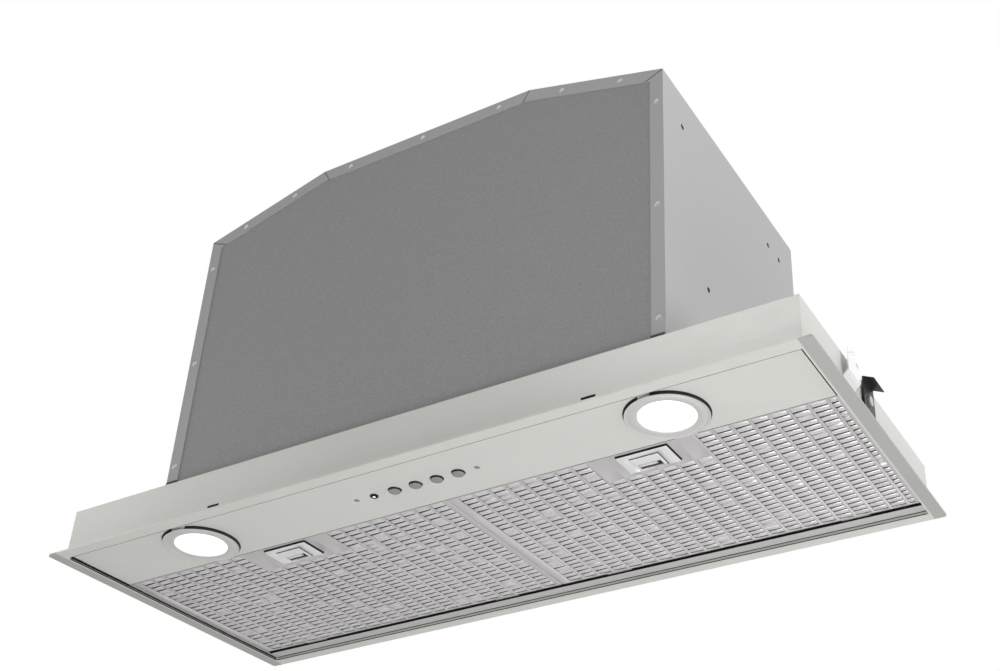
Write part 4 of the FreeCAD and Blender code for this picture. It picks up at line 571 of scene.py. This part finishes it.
@dataclass
class FilterLatch:
    """The latch of one grease filter: its pressed surround and the raised pad on its slide."""

    side: Side
    x: float
    filter_front: float
    filter_bottom: float
    window_half: float = 12.7
    window_front: float = 5.5
    window_rear: float = 25.2
    sheet: float = 0.6
    soft: float = 0.25
    joint: float = 0.7
    shade_strip_drop: float = 0.3
    lap: float = 0.05
    play: float = 0.02
    pad_front: float = 10.6
    pad_half: float = 12.2
    pad_depth: float = 17.4
    pad_bottom: float = 1.7
    pad_top: float = 3.7
    skin: float = 0.06
    slot_half: float = 9.5
    slot_front: float = 9.9
    slot_rear: float = 16.4
    slot_lap: float = 0.6
    slot_shade: Pair = (2.9, 3.1)
    tongue: Pair = (2.1, 2.85)
    tongue_gaps: tuple[float, float, float, float] = (0.3, 4.0, 1.3, 2.3)

    def plate(self, low: Triple, high: Triple, window: tuple[float, float, float, float]) -> Shape:
        """Builds a shallow pressed plate with walls painted dark as shade, softened edges and an opening.

        Args:
            low: Its lowest corner, on its visible face.
            high: Its highest corner, where it meets what carries it.
            window: The opening's left, right, front and rear edges.

        Returns:
            The mesh.
        """
        left, right, front, rear = window
        shape, level = Shape(), low[2] + NEAR
        shape.open_box(low, high)
        # The walls take the near-black finish: painted shade.
        for face in shape.faces(lambda face: abs(face.normal.z) < 1 - FLAT):
            face.material_index = SHADE_OR_BLACK
        outline = shape.edges(lambda edge: all(vert.co.z < level for vert in edge.verts))
        shape.bevel(outline, self.soft)
        shape.divide((1.0, 0.0, 0.0), (left, right))
        shape.divide((0.0, 1.0, 0.0), (front, rear))
        shape.delete(shape.faces(lambda face: looks_down(face) and left < face.calc_center_median().x < right
                                 and front < face.calc_center_median().y < rear))
        return shape

    def surround(self, palette: Palette) -> bpy.types.Object:
        """Builds the pressed surround, and a dark strip of painted shade along its front and right walls.

        Args:
            palette: The materials.

        Returns:
            The surround.
        """
        word, top = self.side.word, self.filter_bottom
        low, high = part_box(f"filter_handle_{word}")
        left, right, front, rear = low.x / MM, high.x / MM, low.y / MM, high.y / MM
        window = (self.x - self.window_half, self.x + self.window_half,
                  front + self.window_front, front + self.window_rear)
        shape = self.plate((left, front, low.z / MM), (right, rear, top), window)
        # Painted shade on the near sides only: a near-black strip along the front and right walls.
        joint, bottom, step = Shape(), top - self.shade_strip_drop, front - self.play
        joint.box((left, front - self.joint, bottom), (right + self.joint, step, top + self.lap))
        joint.box((right + self.play, step, bottom), (right + self.joint, rear, top + self.lap))
        joint.piece(f"handle_shade_strip_{word}", [BLACK_AND_SHADE], palette, f"filter_{word}", slot="plastic_black")
        piece = shape.piece(f"handle_surround_{word}", [HANDLE_METAL, SHADE_METAL], palette, f"filter_{word}",
                            (f"filter_handle_{word}",), slot="steel_satin")
        thicken(piece, self.sheet)
        return piece

    def pad(self, palette: Palette) -> bpy.types.Object:
        """Builds the raised pad over the solid one, with a finger slot whose floor is painted dark as shade,
        and a bright tongue in it.

        Args:
            palette: The materials.

        Returns:
            The piece.
        """
        front = self.filter_front + self.pad_front
        left, right = self.x - self.slot_half, self.x + self.slot_half
        near, far = front + self.slot_front, front + self.slot_rear
        shape = self.plate(
            (self.x - self.pad_half - self.skin, front - self.skin, self.pad_bottom - self.skin),
            (self.x + self.pad_half + self.skin, front + self.pad_depth + self.skin, self.pad_top),
            (left, right, near, far))
        lap, (low, high), gaps = self.slot_lap, self.slot_shade, self.tongue_gaps
        # The finger slot's floor is painted near black as shade.
        for face in shape.box((left - lap, near - lap, low), (right + lap, far + lap, high)):
            face.material_index = SHADE_OR_BLACK
        shape.box((left + gaps[0], near + gaps[2], self.tongue[0]),
                  (right - gaps[1], far - gaps[3], self.tongue[1]))
        return shape.piece(f"latch_pad_{self.side.word}", [HANDLE_METAL, SHADE_METAL], palette,
                           f"latch_{self.side.word}", slot="plastic_grey")

    def build(self, palette: Palette) -> None:
        """Builds the latch's pieces."""
        self.surround(palette)
        self.pad(palette)


@dataclass
class FilterCassette:
    """One grease filter: its pressed front with louvred columns, its latch and its rear tongues."""

    side: Side
    start: float
    end: float
    handle_x: float
    front: float = -64.4
    rear: float = 119.5
    bottom: float = 3.8
    top: float = 13.8
    corner: float = 1.0
    corner_segments: int = 4
    corner_turn: float = 0.25
    sheet: float = 0.45
    margin: float = 3.4
    end_margin: float = 2.2
    end_step: float = 1.0
    pitch: float = 15.0
    column: float = 12.2
    column_shift: float = 1.0
    narrowest: float = 4.6
    plain_columns: int = 6
    plain_rear: float = -26.9
    latch_shift: float = -0.7
    row_pitch: float = 7.0
    crevice: float = 5.5
    shoulder: float = 1.1
    slope: float = 0.9
    crown: float = 0.3
    crown_inset: float = 0.8
    tuck_left: float = 0.9
    tuck_right: float = 0.6
    tuck: float = 0.3
    hem: Pair = (-0.82, 0.02)
    lean: float = 0.22
    dent: Pair = (-0.16, 0.1)
    open_fronts: float = 0.9
    open_sides: float = 0.7
    seed: int = 7
    tongue_spread: float = 220.0
    tongue_width: float = 24.0
    tongue_start: float = -0.4
    tongue_reach: float = 9.5
    tongue_low: float = 4.9
    tongue_high: float = 6.1
    tongue_round: float = 0.3

    @property
    def body(self) -> str:
        """The CAD body that the filter is."""
        return f"filter_{self.side.word}"

    def columns(self) -> list[Triple]:
        """The openings of the front sheet.

        Returns:
            The left edge, right edge and front edge of each column.
        """
        low, high = self.start + self.end_margin, self.end - self.end_margin
        origin = self.handle_x + self.column_shift
        first = math.ceil((low - origin - self.column) / self.pitch)
        last = math.ceil((high - origin) / self.pitch)
        found = []
        for index in range(first, last + 1):
            left = origin + index * self.pitch
            right = min(left + self.column, high - self.end_step)
            begin = max(left, low)
            if right - begin < self.narrowest:
                continue
            plain = -self.plain_columns / 2 <= index < self.plain_columns / 2
            found.append((begin, right, self.plain_rear if plain else self.front + self.margin))
        return found

    def front_sheet(self, palette: Palette) -> bpy.types.Object:
        """Builds the pressed front with its rounded rim, its open columns and the louvres in them.

        Args:
            palette: The materials.

        Returns:
            The piece.
        """
        shape = Shape()
        shape.open_box((self.start, self.front, self.bottom), (self.end, self.rear, self.top))
        shape.bevel(shape.edges(lambda edge: not edge.is_boundary), self.corner, self.corner_segments)
        rear, columns = self.rear - self.margin, self.columns()
        shape.divide((0.0, 1.0, 0.0), (self.front + self.margin, self.plain_rear, rear))
        shape.divide((1.0, 0.0, 0.0), [x for left, right, _ in columns for x in (left, right)])

        def is_open(face: Face) -> bool:
            """Whether a face lies in one of the columns."""
            centre = face.calc_center_median()
            return any(left < centre.x < right and begin < centre.y < rear for left, right, begin in columns)

        shape.delete(shape.faces(lambda face: looks_down(face) and is_open(face)))
        chance = random.Random(self.seed + self.side.value)
        for left, right, begin in columns:
            low, high = (left - self.tuck_left, begin - self.tuck), (right + self.tuck_right, rear + self.tuck)
            self.louvres(shape, chance, low, high)
        # The right filter's outer rounded end is painted near black: painted shade in the gap beside the
        # tray's wall.
        if self.side is Side.RIGHT:
            edge, turn = self.end - self.corner, self.corner_turn
            for face in shape.faces(lambda face: face.normal.x > turn and face.calc_center_median().x > edge):
                face.material_index = SHADED_END
        nodes = (f"filter_frame_{self.side.word}", f"filter_face_{self.side.word}")
        finishes = [FILTER_METAL, CELL_LIGHT_METAL, SHADE_METAL]
        piece = shape.piece(f"filter_front_{self.side.word}", finishes, palette, self.body, nodes)
        thicken(piece, self.sheet)
        return piece

    def louvres(self, shape: Shape, chance: random.Random, low: Pair, high: Pair) -> None:
        """Adds one column's strip of raised, rounded cells with open slots beside and before them.

        Args:
            shape: The mesh to add to.
            chance: The source of the cells' small differences.
            low: The strip's left front corner.
            high: Its right rear corner.
        """
        shape.strip((low[0] + self.hem[0], low[1]), (low[0] + self.hem[1], high[1]), self.crevice)
        rows = max(1, round((high[1] - low[1]) / self.row_pitch))
        cells = shape.strip(low, high, self.crevice, rows)
        # The cells and their slopes take the lighter finish: painted light.
        for cell in cells:
            cell.material_index = LIT_CELL_FACES
        slopes = bmesh.ops.inset_individual(shape.bm, faces=cells, thickness=self.slope, depth=self.shoulder,
                                            use_even_offset=True)["faces"]
        bmesh.ops.inset_individual(shape.bm, faces=cells, thickness=self.crown_inset, depth=self.crown,
                                   use_even_offset=True)
        for cell in cells:
            lean = chance.uniform(-self.lean, self.lean)
            middle = cell.calc_center_median()
            for vert in cell.verts:
                vert.co.z += lean * (1 if vert.co.x > middle.x else -1) + chance.uniform(*self.dent)
        open_slots = []
        for face in slopes:
            face.material_index = LIT_CELL_FACES
            centre, normal = face.calc_center_median(), face.normal
            outer = max(face.verts, key=lambda vert: vert.co.z).co
            if abs(normal.y) > abs(normal.x):
                if outer.y < centre.y and chance.random() < self.open_fronts:
                    open_slots.append(face)
            elif outer.x < centre.x and chance.random() < self.open_sides:
                open_slots.append(face)
        shape.delete(open_slots)

    def tongues(self, palette: Palette) -> bpy.types.Object:
        """Builds the two tongues that hang the filter on the rear ledge.

        Args:
            palette: The materials.

        Returns:
            The piece.
        """
        shape, middle, half = Shape(), (self.start + self.end) / 2, self.tongue_width / 2
        for x in (middle - self.tongue_spread / 2, middle + self.tongue_spread / 2):
            shape.box((x - half, self.rear + self.tongue_start, self.tongue_low),
                      (x + half, self.rear + self.tongue_reach, self.tongue_high))
        outer = shape.edges(lambda edge: all(vert.co.y > self.rear for vert in edge.verts))
        shape.bevel(outer, self.tongue_round)
        return shape.piece(f"filter_tongues_{self.side.word}", [FILTER_METAL], palette, self.body)

    def build(self, palette: Palette) -> None:
        """Builds the filter's pieces.

        Args:
            palette: The materials.
        """
        self.front_sheet(palette)
        FilterLatch(self.side, self.handle_x + self.latch_shift, self.front, self.bottom).build(palette)
        self.tongues(palette)


@dataclass
class Downlight:
    """A round lamp in the control panel: its polished ring, a dark band of painted shade round it and its lit
    lens.
    """

    side: Side
    glint: Pair
    x: float = 220.2
    y: float = -98.5
    radius: float = 31.4
    panel: float = 2.4
    bottom: float = 0.05
    height: float = 0.4
    soft: float = 0.3
    groove: tuple[float, float, float, float] = (1.6, 1.9, 2.3, 2.6)
    groove_depth: float = 0.18
    lip: tuple[Pair, ...] = ((1.2, 0.05), (0.4, 0.3), (0.05, 1.4))
    ring_steps: int = 120
    lens_radius: float = 21.4
    lens_bottom: float = 0.5
    lens_height: float = 1.9
    lens_dome: tuple[Pair, ...] = ((0.0, 0.0), (0.5, 0.03), (0.85, 0.1))
    lens_edge: tuple[Pair, ...] = ((0.4, 0.25), (0.05, 0.7))
    play: float = 0.05
    shade_band: float = 1.0
    shade_band_lap: float = 0.1
    shade_band_rise: float = 0.3
    shade_band_flat: float = 0.8
    shade_band_proud: Pair = (0.05, 0.06)
    steps: int = 96

    @property
    def centre(self) -> Triple:
        """The point on the lamp's axis at height 0."""
        return (self.side.value * self.x, self.y, 0.0)

    def in_glint(self, face: Face) -> bool:
        """Whether a face lies in the bright notch of the ring's dark band, a painted reflection in the painted
        shade.
        """
        place = face.calc_center_median() - Vector(self.centre)
        return self.glint[0] < math.degrees(math.atan2(place.y, place.x)) % 360 < self.glint[1]

    def ring(self, palette: Palette) -> bpy.types.Object:
        """Builds the ring: a polished wall painted dark as shade, left bright at the notch as a painted
        reflection, a rounded rim, a grooved land and a lip round the lens.

        Args:
            palette: The materials.

        Returns:
            The piece.
        """
        r, z, top, mouth = self.radius, self.bottom, self.panel + self.height, self.lens_radius
        (a, b, c, d), deep = self.groove, self.bottom + self.groove_depth
        profile = [(r, top), *((r - inset * self.soft, z + rise * self.soft) for inset, rise in ROUND),
                   (r - a, z), (r - b, deep), (r - c, deep), (r - d, z),
                   *((mouth + reach, z + rise) for reach, rise in self.lip), (mouth + self.play, top)]
        shape = Shape()
        # Walls outside the rim are painted dark as shade, except in the notch, which is left bright as a
        # painted reflection.
        for face in shape.lathe(profile, self.centre, self.ring_steps):
            reach = (face.calc_center_median() - Vector(self.centre)).xy.length
            if abs(face.normal.z) < STEEP and reach > r - self.soft and not self.in_glint(face):
                face.material_index = SHADE_OR_BLACK
        return shape.piece(f"lamp_ring_{self.side.word}", [RING_METAL, SHADE_METAL], palette, "canopy",
                           (f"lamp_bezel_{self.side.word}",))

    def shade_ring(self, palette: Palette) -> bpy.types.Object:
        """Builds the dark band of painted shade between the ring and the panel, open at the notch.

        Args:
            palette: The materials.

        Returns:
            The piece.
        """
        inner, top, proud = self.radius - self.shade_band_lap, self.panel + self.shade_band_rise, self.shade_band_proud
        profile = [(inner, top), (inner, self.panel - proud[0]),
                   (self.radius + self.shade_band * self.shade_band_flat, self.panel - proud[1]),
                   (self.radius + self.shade_band, top)]
        shape = Shape()
        shape.lathe(profile, self.centre, self.steps)
        shape.delete(shape.faces(self.in_glint))
        return shape.piece(f"lamp_shade_ring_{self.side.word}", [BLACK_AND_SHADE], palette, "canopy", slot="plastic_black")

    def lens(self, palette: Palette) -> bpy.types.Object:
        """Builds the lens: a shallow dome with a turned edge.

        Args:
            palette: The materials.

        Returns:
            The piece.
        """
        r, z, top = self.lens_radius, self.lens_bottom, self.lens_bottom + self.lens_height
        profile = [*((r * share, z + rise) for share, rise in self.lens_dome),
                   *((r - inset, z + rise) for inset, rise in self.lens_edge),
                   (r - self.play, top), (0.0, top)]
        shape = Shape()
        shape.lathe(profile, self.centre, self.steps)
        return shape.piece(f"lamp_glass_{self.side.word}", [LENS], palette, "canopy",
                           (f"lamp_lens_{self.side.word}",))

    def build(self, palette: Palette) -> None:
        """Builds the lamp's pieces.

        Args:
            palette: The materials.
        """
        self.ring(palette)
        self.shade_ring(palette)
        self.lens(palette)


@dataclass
class PushButtons:
    """The row of domed push buttons with their dark rims of painted shade, and the indicator beside them."""

    y: float = -98.0
    first: float = -20.0
    pitch: float = 20.0
    count: int = 4
    radius: float = 4.8
    tip: float = 0.1
    side_height: float = 1.1
    dome: tuple[Pair, ...] = ((0.0, 0.0), (0.4, 0.04), (0.7, 0.14), (0.9, 0.3), (0.98, 0.5))
    foot: Triple = (6.2, 6.0, 7.2)
    panel: float = 2.4
    gap: float = 0.5
    play: float = 0.08
    proud: float = 0.1
    rim_height: float = 0.3
    rim_chamfer: float = 0.1
    steps: int = 48
    glass_radius: float = 1.22
    glass_steps: int = 40
    glass_profile: tuple[Pair, ...] = (
        (0.0, 1.15), (0.8, 1.2), (1.15, 1.4), (1.2, 1.6), (1.25, 1.6), (1.4, 1.0), (2.6, 1.0),
        (3.2, 1.4), (3.4, 1.9), (3.4, 2.38), (2.5, 2.38), (2.5, 12.0), (0.0, 12.0))

    def centre(self, place: int) -> Triple:
        """The point at height 0 on the axis of a place in the row, from 0 at the first button."""
        return (self.first + place * self.pitch, self.y, 0.0)

    def button(self, number: int, palette: Palette) -> bpy.types.Object:
        """Builds one button, its side wall painted black as shade above its grey edge.

        Args:
            number: Its place in the row, from 1.
            palette: The materials.

        Returns:
            The piece.
        """
        r, z, (foot_radius, foot_bottom, foot_top) = self.radius, self.tip, self.foot
        edge = z + self.side_height
        profile = [*((r * share, z + rise) for share, rise in self.dome), (r, edge), (r, foot_bottom),
                   (foot_radius, foot_bottom), (foot_radius, foot_top), (0.0, foot_top)]
        shape = Shape()
        for face in shape.lathe(profile, self.centre(number - 1), self.steps):
            if face.calc_center_median().z > edge:
                face.material_index = SHADE_OR_BLACK
        return shape.piece(f"button_cap_{number}", [GREY_PLASTIC, BLACK_AND_SHADE], palette, f"button_{number}",
                           (f"button_{number}",))

    def rims(self, palette: Palette) -> bpy.types.Object:
        """Builds the dark rims of the buttons' holes, painted shade in the gaps round the buttons.

        Args:
            palette: The materials.

        Returns:
            The piece.
        """
        shape = Shape()
        inner, outer, low = self.radius + self.play, self.radius + self.gap, self.panel - self.proud
        top = low + self.rim_height
        profile = [(inner, top), (inner, low), (outer - self.rim_chamfer, low), (outer, top), (inner, top)]
        for place in range(self.count):
            shape.lathe(profile, self.centre(place), self.steps)
        return shape.piece("button_shade_rims", [BLACK_AND_SHADE], palette, "canopy", slot="plastic_black")

    def indicator(self, palette: Palette) -> bpy.types.Object:
        """Builds the indicator: a lit tip in a dark sleeve.

        Args:
            palette: The materials.

        Returns:
            The piece.
        """
        shape, centre = Shape(), self.centre(-1)
        for face in shape.lathe(self.glass_profile, centre, self.glass_steps):
            if (face.calc_center_median() - Vector(centre)).xy.length > self.glass_radius:
                face.material_index = SHADE_OR_BLACK
        return shape.piece("indicator_tip", [LENS, BLACK_AND_SHADE], palette, "canopy", ("indicator_lens",),
                           slot="lens_clear")

    def build(self, palette: Palette) -> None:
        """Builds the buttons, their rims and the indicator.

        Args:
            palette: The materials.
        """
        for number in range(1, self.count + 1):
            self.button(number, palette)
        self.rims(palette)
        self.indicator(palette)


@dataclass
class PaintedShadeStrips:
    """Thin dark strips of painted shade in the gaps between the panel, the ledge and the flange, along the
    tray's left wall, and in the tabs' slots.

    A pair is a span along one axis, except for the widths at the panel's left and right ends.
    """

    reach: float = 336.6
    panel_z: Pair = (2.32, 2.6)
    panel_front: Pair = (-133.8, -130.3)
    panel_rear: Pair = (-65.5, -65.05)
    end_widths: Pair = (0.9, 0.5)
    end_step: float = 0.6
    ledge_rear: Pair = (133.4, 133.85)
    ledge_rear_z: Pair = (2.9, 3.4)
    hem: Pair = (133.7, 133.88)
    hem_z: Pair = (0.25, 0.85)
    ledge_front: Pair = (122.1, 122.8)
    ledge_front_z: Pair = (3.23, 4.5)
    wall: Pair = (-338.18, -337.95)
    wall_y: Pair = (-130.9, 133.3)
    wall_z: tuple[Pair, ...] = ((0.1, 1.1), (1.6, 3.2))
    tab_x: float = 175.5
    tab_half: float = 5.9
    tab_y: Pair = (-134.86, -134.3)
    tab_z: Pair = (8.95, 11.05)

    def spans(self) -> list[tuple[Pair, Pair, Pair]]:
        """The strips as boxes.

        Returns:
            The spans of each along X, Y and Z.
        """
        length = (-self.reach, self.reach)
        found = [(length, self.panel_front, self.panel_z),
                 (length, self.panel_rear, self.panel_z),
                 (length, self.ledge_rear, self.ledge_rear_z),
                 (length, self.hem, self.hem_z),
                 (length, self.ledge_front, self.ledge_front_z)]
        found += [(self.wall, self.wall_y, height) for height in self.wall_z]
        for side, width in zip(Side, self.end_widths):
            near, far = sorted((side.value * (self.reach - width), side.value * (self.reach + self.end_step)))
            found.append(((near, far), (self.panel_front[1], self.panel_rear[0]), self.panel_z))
        for x in (-self.tab_x, self.tab_x):
            found.append(((x - self.tab_half, x + self.tab_half), self.tab_y, self.tab_z))
        return found

    def build(self, palette: Palette) -> None:
        """Builds the strips of painted shade.

        Args:
            palette: The materials.
        """
        shape = Shape()
        for spans in self.spans():
            low, high = zip(*spans)
            shape.box(low, high)
        shape.piece("painted_shade_strips", [BLACK_AND_SHADE], palette, "canopy", slot="plastic_black")


# ------------------------------------------------------------------------------------ studio


@dataclass(frozen=True)
class Softbox:
    """One soft square lamp, in metres and watts."""

    name: str
    place: Triple
    target: Triple
    size: float
    power: float
    lights: bool = True
    mirrored: bool = True

    def build(self) -> None:
        """Adds the lamp, unseen by the camera; it may light surfaces, show in reflections, or both."""
        data = bpy.data.lights.new(self.name, "AREA")
        data.energy, data.size = self.power, self.size
        lamp = bpy.data.objects.new(self.name, data)
        lamp.location = self.place
        aim = Vector(self.target) - Vector(self.place)
        lamp.rotation_euler = aim.to_track_quat("-Z", "Y").to_euler()
        lamp.visible_camera = False
        lamp.visible_diffuse = self.lights
        lamp.visible_glossy = self.mirrored
        bpy.context.scene.collection.objects.link(lamp)


LAMPS = (
    Softbox("right_light", (1.9, 0.1, -0.1), (0.2, 0.0, 0.1), 1.2, 20.0, mirrored=False),
    Softbox("under_light", (0.5, -0.2, -1.45), (0.1, 0.0, 0.0), 1.6, 30.0),
    Softbox("left_light", (-1.8, -0.6, 0.0), (-0.35, -0.1, 0.0), 0.9, 6.0),
    Softbox("top_light", (0.3, 0.5, 2.2), (0.0, 0.0, 0.2), 1.6, 20.0),
    Softbox("right_card", (0.0, -1.0, 0.67), (0.33, -0.13, 0.02), 0.5, 1.7, lights=False),
    Softbox("left_card", (-1.45, -1.0, 0.67), (-0.33, -0.13, 0.02), 0.5, 1.2, lights=False),
)


@dataclass
class Studio:
    """The camera, the lights, the white surroundings and the pale floor, in metres."""

    eye: Triple = (0.60205, -0.85947, -0.51929)
    right: Triple = (0.88240, 0.47050, -0.0003)
    forward: Triple = (-0.40435, 0.75868, 0.51079)
    lens: float = 50.281
    shift: Pair = (-0.13804, 0.0982)
    floor_z: float = -1.6
    floor_size: float = 12.0
    floor_colour: Triple = (0.85, 0.85, 0.85)
    floor_glow: float = 0.5
    surround: float = 0.23

    def camera(self) -> None:
        """Adds the camera at the photograph's place."""
        data = bpy.data.cameras.new("camera")
        data.lens, data.sensor_width = self.lens, 36.0
        data.shift_x, data.shift_y = self.shift
        data.clip_start, data.clip_end = 0.01, 50.0
        made = bpy.data.objects.new("camera", data)
        forward = Vector(self.forward).normalized()
        right = Vector(self.right)
        right = (right - forward * right.dot(forward)).normalized()
        rotation = Matrix((right, right.cross(forward), -forward)).transposed()
        made.matrix_world = Matrix.Translation(self.eye) @ rotation.to_4x4()
        bpy.context.scene.collection.objects.link(made)
        bpy.context.scene.camera = made

    def world(self) -> None:
        """Makes the surroundings white where they are seen, and softer as a light."""
        world = bpy.data.worlds.new("surroundings")
        world.use_nodes = True
        bpy.context.scene.world = world
        nodes, links = world.node_tree.nodes, world.node_tree.links
        nodes.clear()
        path = nodes.new("ShaderNodeLightPath")
        seen = path.outputs["Is Camera Ray"]
        for name in ("Is Glossy Ray", "Is Transmission Ray"):
            either = nodes.new("ShaderNodeMath")
            either.operation = "MAXIMUM"
            links.new(seen, either.inputs[0])
            links.new(path.outputs[name], either.inputs[1])
            seen = either.outputs[0]
        strength = nodes.new("ShaderNodeMapRange")
        strength.inputs["To Min"].default_value = self.surround
        strength.inputs["To Max"].default_value = 1.0
        links.new(seen, strength.inputs["Value"])
        light = nodes.new("ShaderNodeBackground")
        light.inputs["Color"].default_value = (1.0, 1.0, 1.0, 1.0)
        links.new(strength.outputs[0], light.inputs["Strength"])
        output = nodes.new("ShaderNodeOutputWorld")
        links.new(light.outputs[0], output.inputs["Surface"])

    def floor(self) -> None:
        """Adds the pale floor, which keeps shadows and is lifted where the camera sees it."""
        bm = bmesh.new()
        bmesh.ops.create_grid(bm, x_segments=1, y_segments=1, size=self.floor_size / 2,
                              matrix=Matrix.Translation((0.0, 0.0, self.floor_z)))
        mesh = bpy.data.meshes.new("floor")
        bm.to_mesh(mesh)
        bm.free()
        made = bpy.data.objects.new("floor", mesh)
        recipe = Recipe("floor_paint", roughness=0.8, metallic=0.0)
        recipe.shade(self.floor_colour, recipe.spread(recipe.noise(recipe.place(), 3.0), 0.99, 1.01))
        recipe.shader.inputs["Emission Color"].default_value = (1.0, 1.0, 1.0, 1.0)
        seen = recipe.node("ShaderNodeLightPath").outputs["Is Camera Ray"]
        recipe.feed("Emission Strength", recipe.times(seen, self.floor_glow))
        mesh.materials.append(recipe.material)
        bpy.context.scene.collection.objects.link(made)

    def build(self) -> None:
        """Builds the studio."""
        self.camera()
        self.world()
        self.floor()
        for lamp in LAMPS:
            lamp.build()


def main() -> None:
    """Builds the studio and every piece."""
    logging.basicConfig(level=logging.INFO, format="%(message)s")
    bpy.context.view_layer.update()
    bpy.context.scene.view_settings.view_transform = "Standard"
    palette = Palette(FINISHES)
    palette.dress_nodes()
    Studio().build()
    for assembly in (FilterCassette(Side.LEFT, start=-337.0, end=3.9, handle_x=-164.35),
                     FilterCassette(Side.RIGHT, start=4.4, end=337.0, handle_x=177.7),
                     Downlight(Side.LEFT, glint=(265.0, 289.0)),
                     Downlight(Side.RIGHT, glint=(256.0, 273.0)),
                     PushButtons(),
                     PaintedShadeStrips()):
        assembly.build(palette)


if __name__ == "__main__":
    main()
